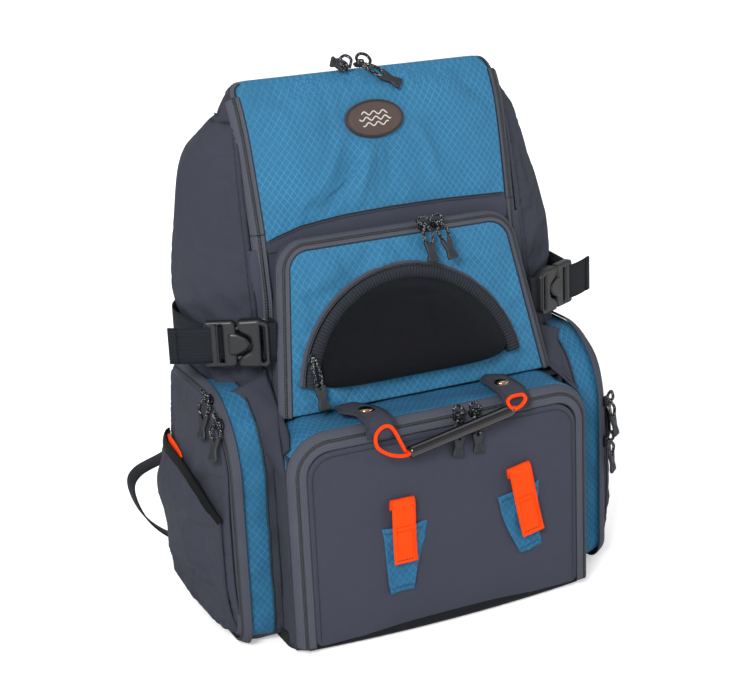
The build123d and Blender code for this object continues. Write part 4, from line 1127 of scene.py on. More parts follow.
def wings():
    n = 60
    rows = []
    for z, fx, fy, wx, wy, rx, ry in SLICES:
        pts, _ = arc3((fx, fy), (wx, wy), (rx, ry), n)
        rows.append(np.c_[pts, np.full(n, float(z))])
    rows = np.array(rows)
    cols = [resample(curve(rows[:, j], 2.0), count=88) for j in range(n)]
    g = np.stack(cols, 1)
    g[:, :, 2] = g[:, :, 2].mean(1, keepdims=True)
    nor = unit(np.cross(np.gradient(g, axis=1), np.gradient(g, axis=0)))
    if np.sum(nor * (g - np.array([120, 40, 380]))) < 0:
        nor = -nor
    z, s = g[:, :, 2], np.linspace(0, 1, n)[None]
    cinch = (
        -3.4 * np.exp(-(((z - 302) / 22) ** 2))
        + 2.0 * np.exp(-(((z - 348) / 26) ** 2))
        + 1.4 * np.exp(-(((z - 258) / 18) ** 2))
    )
    edge = np.clip(np.minimum(s, 1 - s) * 9, 0, 1) * np.clip((531 - z) / 26, 0, 1)
    pin = np.maximum(np.clip(1 - np.minimum(s, 1 - s) * 30, 0, 1), np.clip((z - 522) / 6, 0, 1))
    pin = np.maximum(pin, np.clip((232 - z) / 6, 0, 1))
    pin = np.maximum(pin, 0.9 * (np.abs(z - 302) < 17) * (s > 0.1))
    for sg, side in ((-1, "left"), (1, "right")):
        flat = g.reshape(-1, 3)
        w = ripple(flat * np.array([1, 1, 0.35]), 44, 60 + sg).reshape(z.shape)
        tug = ripple(flat * np.array([0.5, 0.5, 1.0]), 26, 70 + sg).reshape(z.shape)
        near = np.exp(-(((z - 302) / 46) ** 2))
        h = (cinch * np.clip(s * 6, 0, 1) + 1.3 * w + 1.2 * tug * near) * edge
        q = (g + nor * h[:, :, None]) * np.array([sg, 1, 1])
        q = drape_grid(q, pin, (sg * 100, 40, 380), grow=0.035, pressure=1.2, cap=5.0, bend=0.2)
        nn = nor * np.array([sg, 1, 1])
        cap = int(np.argmax(z[:, 0] > 503))
        grid_sheet(
            f"wing_{side}", q[: cap + 1], 2.6, GREY_SHADED, "pack", inward=(sg * 120, 40, 380),
            node="side_panels" if sg < 0 else ()
        )
        grid_sheet(f"wing_cap_{side}", q[cap:], 2.6, GREY_SHADED, "pack", inward=(sg * 120, 40, 480))
        stitches(
            f"wing_stitch_{side}", q[3 : cap - 1, 2] + nn[3 : cap - 1, 2] * 0.4, nn[3 : cap - 1, 2], "pack",
            THREAD
        )
        rear = q[:, -1] + np.array([0, 0.8, 0])
        cord(f"wing_piping_{side}", rear[: int(len(rear) * 0.86)], 1.6, PIPING, "pack")


def front_and_pocket():
    zs, xs = np.linspace(227, 384, 40), np.linspace(-151, 151, 80)
    g = np.zeros((40, 80, 3))
    for i, z in enumerate(zs):
        p = on_skin(xs, np.full(80, z), np.zeros(80))
        p[:, 1] += np.clip((np.abs(xs) - 138) / 13, 0, 1) ** 2 * 5
        g[i] = p
    g[:, :, 1] -= 0.8 * ripple(g.reshape(-1, 3), 55, 77).reshape(40, 80)
    grid_sheet("front_cloth", g, 2.4, GREY, "pack", inward=(0, 100, 300), node="front_panel")
    path = arch(147, 124, 0.5, DOOR_HEIGHT, 28, 2.6, closed=False)
    a = as3(on_door, path, -3.0)
    g = np.zeros((10, len(a), 3))
    for i, r in enumerate(np.linspace(0, 1, 10)):
        b = a.copy()
        b[:, 1] = np.maximum(skin_y(a[:, 2]) + 1.5, a[:, 1] + 3)
        b[:, 2] += 1.5
        g[i] = a + (b - a) * r
        g[i] += 1.2 * math.sin(r * math.pi) * as3(
            lambda u, v, h: np.outer(u, DOOR_X) + np.outer(v, DOOR_UP), outward2(path)
        )
    grid_sheet(
        "pocket_gusset_cloth", g, 1.8, GREY, "pack", inward=(0, -20, 300),
        node=("pocket_gusset", "body_zip_tapes")
    )
    inner = arch(145.5, 123.0, 1.0, DOOR_HEIGHT - 1.5, 27, 2.0, closed=False)
    o2 = outward2(inner)
    o = o2[:, :1] * DOOR_X + o2[:, 1:] * DOOR_UP
    zip_run(
        "pocket_zip", as3(on_door, inner, 0.2), DOOR_OUT, o, "pocket_door", "pack", w_in=5.0, w_out=8.0,
        tilt_in=0.3, tilt_out=1.5, node_in="pocket_door_zip_tape"
    )
    face = rounded(
        [(-140.0, 1.5), (-117.8, DOOR_HEIGHT - 7.2), (117.8, DOOR_HEIGHT - 7.2), (140.0, 1.5)],
        [2, 22, 22, 2], 3.0
    )

    def in_case(u, v):
        return ((u + 6) ** 2 + (v - 10) ** 2 < 119**2) & (v > 24)

    def rise(t, u, v):
        w = ripple(np.stack([u, v], 1), 36, 13) + 0.7 * ripple(np.stack([u * 0.6, v * 1.4], 1), 22, 14)
        return 0.4 + (1.6 * (1 - t**5) + 1.4 * w * (1 - t**5)) * np.where(in_case(u, v), 0.1, 1.0)

    fan_panel("pocket_door_face", face, on_door, rise, 3, BLUE, "pocket_door", rings=26, back=-2.6,
              node="pocket_door_panel",
              cloth={"grow": 0.02, "pressure": 1.0, "cap": 3.0, "bend": 0.15},
              hold=lambda u, v: np.where(in_case(u, v), 1.0, 0.0))
    stitches("pocket_door_stitch", as3(on_door, face[2:-2], 0.9), DOOR_OUT, "pocket_door", THREAD_BLUE)


# ------------------------------------------------------------------ glasses case
CASE_X, CASE_FOOT = -6.0, 26.0


def half_moon(radius, foot, soft=8.0, n=170):
    """The case's outline in door coordinates: an arc cut off by a straight foot, corners softened."""
    cx, cy, fy = CASE_X, 9.92, CASE_FOOT + foot
    c = np.array([cx, fy + 34.0])
    a = np.linspace(0, 2 * math.pi, n, endpoint=False)
    d = np.stack([np.cos(a), np.sin(a)], 1)
    b = c - np.array([cx, cy])
    along = -(d @ b) + np.sqrt((d @ b) ** 2 - b @ b + radius**2)
    down = np.where(d[:, 1] < -1e-3, 34.0 / np.maximum(-d[:, 1], 1e-3), 1e6)
    r = (along**-soft + down**-soft) ** (-1 / soft)
    return c + d * r[:, None]


def glasses_case():
    outline = half_moon(107.0, -6.0, 5.5)

    def rise(t, u, v):
        dome = 4.0 + 37.0 * (1 - t**3.3) ** 0.6
        dx, dy = u - CASE_X - 8, v - (CASE_FOOT + 74)
        eye = (
            -2.6 * np.exp(-((dx / 15) ** 2 + (dy / 4.5) ** 2))
            + 1.5 * np.exp(-((dx / 22) ** 2 + ((dy - 7) / 4.5) ** 2))
        )
        eye += 1.2 * np.exp(-((dx / 22) ** 2 + ((dy + 8) / 5) ** 2))
        crease = -1.6 * np.exp(-(((dx + 0.15 * (dy + 18)) / 3.6) ** 2 + ((dy + 20) / 12) ** 2))
        return dome + eye + crease + 0.6 * ripple(np.stack([u, v], 1), 60, 4) * (1 - t**2)

    fan_panel(
        "case_dome", outline, on_door, rise, 3, EVA, "case_lid", centre=(CASE_X, CASE_FOOT + 40), rings=40,
        ease=2.0, back=lambda q, h: np.maximum(h - 3.2, 3.5), node="case_lid_shell"
    )
    fan_panel(
        "case_back", half_moon(118.0, 0.5, 20), on_door, lambda t, u, v: np.full(len(t), 3.0), 3, EVA,
        "pocket_door", rings=6, back=0.4
    )
    floor_x = np.linspace(-1, 1, 40)
    g = np.zeros((12, 40, 3))
    for i, depth in enumerate(np.linspace(2.5, 22, 12)):
        half = np.interp(depth, [2, 14, 22], [98, 90, 72])
        g[i] = on_door(
            CASE_X + floor_x * half, CASE_FOOT + 2.2 + (depth / 36) ** 2 * 3 + 3.0 * np.abs(floor_x) ** 5,
            np.full(40, depth)
        )
    grid_sheet("case_floor", g, 2.0, EVA, "pocket_door", inward=(CASE_X, -90, 300), node="case_base")
    a = np.linspace(math.radians(171.5), math.radians(8.5), 120)
    arc = np.stack([CASE_X + 112.3 * np.cos(a), 9.92 + 112.3 * np.sin(a)], 1)
    o2 = np.stack([np.cos(a), np.sin(a)], 1)
    o = o2[:, :1] * DOOR_X + o2[:, 1:] * DOOR_UP
    p = as3(on_door, arc, 5.2)
    band(
        "case_binding", p - o * 0.6 + DOOR_OUT * 1.2, unit(DOOR_OUT - 0.1 * o), 14.0, 2.8, BINDING,
        "case_lid", crown=2.2, node="case_zip_tape"
    )
    band(
        "case_tape", p + o * 9.0 - DOOR_OUT * 2.6, unit(DOOR_OUT + 0.5 * o), 3.6, 1.0, TAPE_DARK,
        "pocket_door"
    )
    zip_line("case_coil", p + o * 6.9 - DOOR_OUT * 0.2, unit(DOOR_OUT + 0.7 * o), "case_lid", 3.0)


# ------------------------------------------------------------------ side pockets
SIDE = rounded([(-80, 6), (-80, 255), (95, 255), (95, 6)], [22, 75, 22, 22], 2.5)


def inset_side(d):
    r = [max(22 - d, 3), 75 - d, max(22 - d, 3), max(22 - d, 3)]
    return rounded([(-80 + d, 6 + d), (-80 + d, 255 - d), (95 - d, 255 - d), (95 - d, 6 + d)], r, 2.5)


def door_x(y, z):
    ty, tz = np.abs(y - 7.5) / 87.5, np.abs(z - 130.5) / 124.5
    t = np.clip((ty**5 + tz**5) ** 0.2, 0, 1)
    high = np.clip((z - 130) / 90, 0, 1)
    return 208 + 21.5 * (1 - t**3.2) ** 0.75 * (1 - 0.5 * high**2 * (3 - 2 * high))


def side_pockets():
    for sg, side in ((-1, "left"), (1, "right")):
        door = f"{side}_side_door"
        flip = np.array([sg, 1, 1])
        m = len(SIDE)
        centre = np.array([7.5, 130.0])
        out2 = unit(
            np.stack(
                [
                    -np.gradient(np.r_[SIDE[-1:, 1], SIDE[:, 1], SIDE[:1, 1]])[1:-1],
                    np.gradient(np.r_[SIDE[-1:, 0], SIDE[:, 0], SIDE[:1, 0]])[1:-1]
                ],
                1
            )
        )
        if np.sum(out2 * (SIDE - centre)) < 0:
            out2 = -out2
        g = np.zeros((18, m + 1, 3))
        for i, r in enumerate(np.linspace(0, 1, 18)):
            x = 165.3 + r * 39.2
            flare = 3.0 * (1 - r) + 1.5 * math.sin(r * math.pi)
            q = SIDE + out2 * flare
            q = np.vstack([q, q[:1]])
            g[i] = np.c_[np.full(m + 1, x), q]
        w = ripple(g.reshape(-1, 3), 30, 90 + sg).reshape(g.shape[:2])
        lift = np.vstack([out2, out2[:1]])
        fade = np.sin(np.linspace(0, 1, 18) * math.pi)[:, None]
        g[:, :, 1] += w * fade * 1.4 * lift[:, 0]
        g[:, :, 2] += w * fade * 1.4 * lift[:, 1]
        y, z = g[0, :, 1], g[0, :, 2]
        blue = (z > 12) & ((y < -60) | ((z > 150) & (y < 55)))
        start = int(np.argmin(blue))
        roll = np.roll(np.arange(m), -start)
        cut = np.flatnonzero(blue[:m][roll])
        cols = roll[cut[0] : cut[-1] + 1]
        rest = np.r_[roll[cut[-1] :], roll[: cut[0] + 1]]
        grid_sheet(
            f"side_gusset_blue_{side}", g[4:, cols] * flip, 2.0, BLUE_SHADED, "pack",
            inward=(sg * 185, 7, 130), node="side_pocket_gussets" if sg < 0 else ()
        )
        grid_sheet(
            f"side_gusset_seam_{side}", g[:5, cols] * flip, 2.0, GREY_SHADED, "pack",
            inward=(sg * 170, 7, 130)
        )
        grid_sheet(
            f"side_gusset_grey_{side}", g[:, rest] * flip, 2.0, GREY_SHADED, "pack", inward=(sg * 185, 7, 130)
        )
        nn = np.c_[np.zeros(len(cols)), out2[cols % m]]
        stitches(f"side_gusset_stitch_{side}", g[5, cols] * flip + nn * 0.3, nn, "pack", THREAD_BLUE)
        cord(f"side_gusset_piping_{side}", g[4, cols] * flip + nn * 0.1, 0.9, PIPING, "pack")

        run = SIDE[(SIDE[:, 0] < 74) | (SIDE[:, 1] < 0)]
        order = np.argsort(-np.arctan2(run[:, 1] - 130, run[:, 0] - 7.5) % (2 * math.pi))
        run = run[order]
        gap = int(np.argmax(np.linalg.norm(np.diff(np.vstack([run, run[:1]]), axis=0), axis=1)))
        run = resample(np.roll(run, -(gap + 1), axis=0), 2.0)
        t2 = unit(np.gradient(run, axis=0))
        o2 = np.stack([-t2[:, 1], t2[:, 0]], 1)
        if np.sum(o2 * (run - centre)) < 0:
            o2 = -o2
        o = np.c_[np.zeros(len(run)), o2]
        p = np.c_[np.full(len(run), sg * 207.5), run]
        zip_run(
            f"side_zip_{side}", p - o * 0.5, (sg, 0, 0), o, door, "pack", w_in=8, w_out=9, tilt_in=0.9,
            tilt_out=1.8, mat_in=TAPE_DARK, mat_out=TAPE_DARK
        )

        face = inset_side(4.5)
        place = lambda u, v, h, sg=sg: np.stack([sg * h, u, v], -1)

        def rise(t, u, v, sg=sg):
            w = ripple(np.stack([u, v * 0.6], 1), 46, 30 + sg)
            return door_x(u, v) + 1.2 * w * (1 - t**4)

        fan_panel(f"side_door_{side}", face, place, rise, 3, GREY_SHADED, door, rings=26, back=lambda q, h: h - 2.6,
                  node=f"{side}_door_panel",
                  cloth={"grow": 0.02, "pressure": 1.0, "cap": 4.0, "bend": 0.2})

        rows, cols_n = 50, 72
        u = np.linspace(0, 1, cols_n)
        yy = -70 + 158 * u
        mouth = 181 - 40 * np.exp(-(yy + 70) / 27) + 3 * np.sin(u * math.pi)
        b = np.zeros((rows, cols_n, 3))
        for i, r in enumerate(np.linspace(0, 1, rows)):
            zz = 14 + (mouth - 14) * r
            belly = np.sin(u * math.pi) ** 0.6 * math.sin(min(1.0, 0.12 + r * 1.05) * math.pi / 2) ** 0.7
            sag = 0.80 + 0.30 * math.sin(math.pi * min(1.0, r * 0.9))
            puckers = 1.9 * np.sin(yy * 0.36 + 1.1 * np.sin(yy * 0.13)) * math.exp(-((r / 0.2) ** 2))
            puckers = puckers + 1.1 * np.sin(yy * 0.27 + 0.8) * math.exp(-(((r - 0.9) / 0.16) ** 2)) * (
                1 - math.exp(-(((r - 1) / 0.05) ** 2))
            )
            x = door_x(yy, zz) + 1.8 + 9.5 * belly * sag + puckers * np.sin(u * math.pi) ** 0.5
            b[i] = np.stack([x, yy, zz], 1)
        deep = ripple(b.reshape(-1, 3) * np.array([0.2, 0.8, 0.5]), 42, 100 + sg).reshape(rows, cols_n)
        inside = (np.sin(u * math.pi) ** 0.5)[None] * np.sin(np.linspace(0.12, 0.98, rows) * math.pi)[:, None]
        b[:, :, 0] += 2.6 * deep * inside
        b = b * flip
        pin = np.zeros((rows, cols_n))
        pin[:2], pin[-3:], pin[:, :2], pin[:, -2:] = 1, 1, 1, 1
        b = drape_grid(b, pin, (sg * 150, 10, 100), grow=0.05, pressure=1.5, cap=7.0, bend=0.15)
        b[:, :, 0] = sg * np.minimum(np.abs(b[:, :, 0]), 250)
        grid_sheet(
            f"bottle_pocket_{side}", b, 1.6, GREY_SHADED, door, inward=(sg * 150, 10, 100),
            node=f"{side}_bottle_pocket"
        )
        rim = b[-1]
        band(
            f"bottle_elastic_{side}", resample(rim + np.array([sg * 0.2, 0, -3.0]), 1.4), (sg, -0.1, 0.2),
            11, 1.8, ELASTIC, door, crown=0.8
        )
        back = b[-1, 34:66] + np.array([-sg * 2.6, 0, 0])
        arcs = np.sin(np.linspace(0, 1, len(back)) * math.pi)[:, None] ** 0.6 * np.array([0, 0, 1.0])
        lining = np.stack(
            [
                back + np.array([0, 0, -8.0]), back + arcs * 3.0,
                back + np.array([-sg * 1.6, 0, 0]) + arcs * 7.0
            ]
        )
        grid_sheet(f"bottle_lining_{side}", lining, 0.8, ORANGE, door, inward=(sg * 150, 10, 100))


# ------------------------------------------------------------------ compression straps
LIE = math.radians(27.5)
MOUTH = np.array([176.0, -34.0, 302.0])


def strap_frame(sg):
    s = np.array([sg * math.cos(LIE), math.sin(LIE), 0])
    out = np.array([sg * math.sin(LIE), -math.cos(LIE), 0])
    return MOUTH * np.array([sg, 1, 1]), s, out


def straps():
    for sg, side in ((-1, "left"), (1, "right")):
        m, s, out = strap_frame(sg)
        male = f"{side}_buckle"
        at = lambda a, o: m + s * a + out * o
        ring = [
            (143.2 + 68.6 * math.cos(math.radians(a)), 40.2 + 68.6 * math.sin(math.radians(a)), 302.0)
            for a in (-12, 5, 20, 35, 50, 64)
        ]
        pts = [at(12, -5.6), at(24, -5.8), at(36, -6.5)] + [
            np.array(q) * np.array([sg, 1, 1])
            for q in ring
        ]
        path = curve(pts, 2.0)
        nor = path - np.array([sg * 143.2, 40.2, 302.0])
        nor[:, 2] = 0
        band(
            f"compression_web_{side}", path, unit(nor), 38, 1.7, WEB, "pack",
            node="compression_webbing" if sg < 0 else (), lift=-1.0
        )
        pts = [
            (sg * 141.8, -27, 302), (sg * 141.9, -40, 302), (sg * 142.6, -49, 302), at(-33, -1.5),
            at(-25, 0.5)
        ]
        path = curve([np.asarray(q, float) for q in pts], 1.5)
        nor = unit(np.cross(unit(np.gradient(path, axis=0)), (0, 0, 1)))
        nor = nor if nor[-1] @ out > 0 else -nor
        band(f"compression_anchor_{side}", path, nor, 38, 1.7, WEB, "pack")
        tail = curve(
            [
                at(14, -3.0), at(19.0, 1.0), at(24.5, 3.2), at(31, 4.6), at(40, 5.0), at(52, 4.2),
                at(66, 2.0)
            ],
            1.2
        )
        nor = unit(np.cross(unit(np.gradient(tail, axis=0)), (0, 0, 1)))
        nor = nor if nor[-1] @ out > 0 else -nor
        band(f"strap_tail_{side}", tail, nor, 36, 1.6, WEB, male, node=f"{side}_strap_tail")
        hem = tail[-8:] + nor[-8:] * 1.4
        band(f"strap_hem_{side}", hem, nor[-8:], 36, 1.4, WEB, male)
        place = placing(m, s, out)
        body = rounded(
            [
                (-31, -19), (-31, 19), (-21, 24), (-2, 23.5), (0, 18), (-4, 12), (-13, 7), (-15, 0),
                (-13, -7), (-4, -12), (0, -18), (-2, -23.5), (-21, -24)
            ],
            [4, 4, 4, 3, 1.5, 4, 5, 7, 5, 4, 1.5, 3, 4], 0.9
        )
        slot = rounded([(-27.5, -19), (-27.5, 19), (-23.0, 19), (-23.0, -19)], 1.2, 1.2)
        plate(
            f"buckle_socket_{side}", [body, slot], 12.5, 2.8, place, PLASTIC, "pack",
            node="buckle_females" if sg < 0 else ()
        )
        inside = rounded([(-17, -16), (-17, 16), (-3, 16), (-3, -16)], 2, 1.2)
        low = placing(m - out * 4.0, s, out)
        plate(f"buckle_socket_floor_{side}", [inside], 2.4, 0.8, low, PLASTIC, "pack")
        frame_loop = rounded(
            [(0.8, -20), (0.8, 20), (4, 23), (30, 23), (31, 20), (31, -20), (30, -23), (4, -23)],
            [2, 2, 3, 3, 2, 2, 3, 3], 0.9
        )
        slot_a = rounded([(13.5, -19.3), (13.5, 19.3), (17.6, 19.3), (17.6, -19.3)], 1.2, 1.2)
        slot_b = rounded([(22.4, -19.3), (22.4, 19.3), (26.4, 19.3), (26.4, -19.3)], 1.2, 1.2)
        plate(
            f"buckle_plug_{side}", [frame_loop, slot_a, slot_b], 9.6, 2.2, place, PLASTIC, male,
            node=f"{side}_buckle_male"
        )
        top = placing(m + out * 1.4, s, out)
        lens = rounded(
            [(-13.6, 0), (-9, 6.5), (0, 11), (9, 12), (9, -12), (0, -11), (-9, -6.5)],
            [3, 6, 8, 4, 4, 8, 6], 0.9
        )
        plate(f"buckle_tongue_{side}", [lens], 9.4, 2.8, top, PLASTIC, male)
        for e in (-1, 1):
            prong = rounded(
                [
                    (-16, e * 13.4), (-14, e * 16.2), (-5, e * 16.8), (3, e * 16.5), (3, e * 13.2),
                    (-8, e * 12.6)
                ],
                1.2, 0.9
            )
            plate(
                f"buckle_prong_{side}_{'a' if e < 0 else 'b'}", [prong[::e]], 4.0, 1.0, place, PLASTIC, male
            )


# ------------------------------------------------------------------ back and harness
def back_and_harness():
    panel = arch(160, 148, 0.5, 477, 45, 4.0)
    rear = lambda u, v, h: np.stack([u, 104 + h, v], -1)
    fan_panel(
        "back_cloth", panel, rear, lambda t, u, v: 6.8 + 1.2 * (1 - t**4), 7, BLACK, "pack", rings=14,
        back=0.0, node="back_panel"
    )
    edge = as3(rear, panel, 7.0)
    cord("back_piping", edge[np.r_[0 : len(edge), 0]], 1.8, PIPING, "pack")
    pads = {
        "pad_left": (-72, 250, 96, 300), "pad_right": (72, 250, 96, 300), "pad_lumbar": (0, 54, 240, 70)
    }
    for k, (name, (x, z, w, h)) in enumerate(pads.items()):
        o = rounded(
            [
                (x - w / 2, z - h / 2), (x - w / 2, z + h / 2), (x + w / 2, z + h / 2),
                (x + w / 2, z - h / 2)
            ],
            24, 4.0
        )

        def rise(t, u, v, w=w, h=h, x=x, z=z):
            groove = 0.0 if h < 100 else -3.0 * np.exp(-(((np.abs(v - z) - 52) / 5) ** 2))
            return 8.6 + 10.0 * (1 - t**3.4) ** 0.6 + groove * (1 - t**4)

        fan_panel(
            f"back_{name}", o, rear, rise, 8, MESH, "pack", rings=20, back=8.2,
            node="back_pads" if k == 0 else ()
        )
        cord(f"back_{name}_piping", as3(rear, o, 9.2)[np.r_[0 : len(o), 0]], 1.3, PIPING, "pack")
    yoke = rounded([(-110, 408), (-110, 464), (110, 464), (110, 408)], 10, 4)
    fan_panel(
        "yoke", yoke, rear, lambda t, u, v: 12.0 + 1.6 * (1 - t**4), 5, BLACK, "pack", rings=8, back=8.2,
        node="strap_yoke"
    )
    stitches(
        "yoke_stitch", as3(rear, rounded([(-105, 412), (-105, 460), (105, 460), (105, 412)], 8, 4), 13.4),
        (0, 1, 0), "pack", THREAD_LIGHT
    )
    for sg, side in ((-1, "left"), (1, "right")):
        pts = [
            (58, 117, 447), (60, 128, 459), (62, 142, 463), (66, 160, 452), (69, 171, 422),
            (72, 173.5, 375), (75, 173, 330), (79, 167, 275), (82, 161, 240)
        ]
        path = curve([np.array(q) * np.array([sg, 1, 1]) for q in pts], 3.0)
        s = np.linspace(0, 1, len(path))
        t = unit(np.gradient(path, axis=0))
        nor = unit(np.cross(t, (1.0, 0, 0)))
        nor = np.where((nor @ np.array([0, 1.0, 0.4]))[:, None] < 0, -nor, nor)
        wide = np.interp(s, [0, 0.08, 0.5, 0.9, 0.97, 1], [0.86, 0.98, 1.0, 0.9, 0.72, 0.45])
        fat = np.interp(s, [0, 0.05, 0.2, 0.9, 1], [0.5, 0.85, 1.0, 1.0, 0.4])
        a = np.linspace(0, 2 * math.pi, 36, endpoint=False)
        sec = np.stack(
            [
                31 * np.sign(np.cos(a)) * np.abs(np.cos(a)) ** 0.55,
                5.2 * np.sign(np.sin(a)) * np.abs(np.sin(a)) ** 0.8
            ],
            1
        )
        v, f, uv = swept(path, nor, sec, scale=np.stack([wide, fat], 1))
        make(f"shoulder_pad_{side}", v, f, MESH, "pack", uv=None, node="shoulder_straps" if sg < 0 else ())
        k = slice(int(len(path) * 0.12), len(path) - 3)
        band(f"shoulder_web_{side}", path[k] + nor[k] * 4.8, nor[k], 25, 1.4, WEB, "pack")
        for e in (-1, 1):
            off = np.cross(t, nor) * (wide * e * 27.5)[:, None]
            stitches(
                f"shoulder_stitch_{side}_{'a' if e < 0 else 'b'}", (path + off + nor * 3.3)[4:-4],
                nor[4:-4], "pack", THREAD_LIGHT
            )
            off = np.cross(t, nor) * (wide * e * 30.6)[:, None]
            cord(f"shoulder_edge_{side}_{'a' if e < 0 else 'b'}", (path + off)[1:-1], 2.0, BLACK, "pack")
        place = placing((sg * 84, 152.0, 226.5), (1, 0, 0), (0, 1, 0))
        rim = rounded([(-16, -8), (-16, 8), (16, 8), (16, -8)], 3, 1)
        holes = [
            rounded([(-13, c - 1.7), (-13, c + 1.7), (13, c + 1.7), (13, c - 1.7)], 1, 1)
            for c in (-4.0, 3.0)
        ]
        plate(
            f"ladder_lock_{side}", [rim] + holes, 6.0, 1.6, place, PLASTIC, "pack",
            node="ladder_locks" if sg < 0 else ()
        )
        pts = [
            (80, 158, 238), (84, 153, 226), (96, 152, 214), (126, 153, 172), (160, 153.5, 143),
            (204, 152.5, 127), (236, 151, 116), (244, 149.5, 98), (232, 147, 64), (206, 142, 38),
            (170, 134, 25)
        ]
        path = curve([np.array(q) * np.array([sg, 1, 1]) for q in pts], 2.0)
        t = unit(np.gradient(path, axis=0))
        nor = unit(np.cross(t, (0, 1.0, 0.0)))
        band(
            f"lower_web_{side}", path, nor, 25, 1.6, WEB, "pack", node="lower_webbing" if sg < 0 else (),
            lift=-0.8
        )
        g = np.array(
            [
                [
                    np.array(
                        [sg * (140 + 24 * r + 8 * q), 112 + 42 * r, 22 + 10 * q * (1 - 0.35 * r) + 2 * r]
                    )
                    for q in np.linspace(0, 1, 6)
                ]
                for r in np.linspace(0, 1, 14)
            ]
        )
        grid_sheet(f"strap_wing_{side}", g, 3.0, BLACK, "pack", inward=(sg * 200, 130, 0))
    grip = curve(
        [
            (-34, 126, 466), (-33, 126.5, 480), (-26, 127, 492), (-12, 127.5, 498), (12, 127.5, 498),
            (26, 127, 492), (33, 126.5, 480), (34, 126, 466)
        ],
        1.6
    )
    t = unit(np.gradient(grip, axis=0))
    nor = unit(np.cross(t, (0, 1.0, 0)))
    nor = nor if nor[len(nor) // 2][2] > 0 else -nor
    s = np.linspace(-1, 1, len(grip))
    narrow = 1 - 0.35 * np.exp(-((s / 0.4) ** 4))
    band(
        "haul_web", grip, nor, 25, 2.4, WEB, "haul_grip",
        scale=np.stack([narrow, 1 + 0.6 * np.exp(-((s / 0.4) ** 4))], 1), node="haul_loop"
    )


# ------------------------------------------------------------------ zip pulls
def slider(name, body, seat, x_dir, out, node):
    place = placing(np.asarray(seat) + unit(out) * 2.0, x_dir, out)
    shape = rounded(
        [(-6.4, -3.0), (-6.4, 3.0), (-1, 4.8), (5.0, 4.2), (6.6, 0), (5.0, -4.2), (-1, -4.8)],
        [1.5, 1.5, 2.5, 2, 2, 2, 2.5], 0.7
    )
    plate(f"{name}_body", [shape], 3.4, 1.0, place, METAL, body, node=node)
    x = unit(np.asarray(x_dir, float))
    c = np.asarray(seat) + unit(out) * 3.6
    loop = curve(
        [
            c - x * 3.8, c - x * 3.0 + unit(out) * 2.6, c + unit(out) * 3.2, c + x * 3.0 + unit(out) * 2.6,
            c + x * 3.8
        ],
        0.6
    )
    cord(f"{name}_bridge", loop, 1.0, METAL, body)


def pull(name, body, anchor, way, out, length, tag=16.0, node=(), spread=1.0, sag=0.0):
    """Two strands of flecked cord through the slider's bridge, ending in a forked moulded tag."""
    a, w, n = np.asarray(anchor, float), unit(way), unit(out)
    n = unit(n - w * (n @ w))
    s = np.cross(w, n)
    strand = length - tag
    mid = a + w * strand * 0.5 + n * (1.8 + sag)
    end = a + w * strand + n * 0.6
    pts = [
        end + s * 2.6, mid + s * 3.4 * spread, a + s * 1.9 + n * 0.6, a - w * 2.0 + n * 0.4,
        a - s * 1.9 + n * 0.6, mid - s * 3.4 * spread, end - s * 2.6
    ]
    cord(f"{name}_cord", curve(pts, 0.8), 1.7, CORD, body)
    place = placing(end + w * tag / 2, w, n)
    h = tag / 2
    half = [(-h - 2.5, 6.4), (-h * 0.5, 5.0), (h * 0.0, 3.8), (h * 0.55, 5.8), (h, 5.8)]
    shape = [(-h - 2.5, 3.0), *half, *[(x, -y) for x, y in half[::-1]], (-h - 2.5, -3.0), (-h * 0.75, 0)]
    shape = rounded(shape, [0.8, 0.8, 2.5, 2.5, 1.5, 1.2, 1.2, 1.5, 2.5, 2.5, 0.8, 0.8, 1.2], 0.7)
    plate(f"{name}_tag", [shape], 3.6, 1.2, place, RUBBER, body, node=node)
    for k in (0.05, 0.3, 0.55, 0.8):
        c = end + w * (tag / 2 + k * h) + n * 1.9
        cord(f"{name}_grip_{int(k * 100)}", np.linspace(c - s * 2.6, c + s * 2.6, 5), 0.45, RUBBER, body)


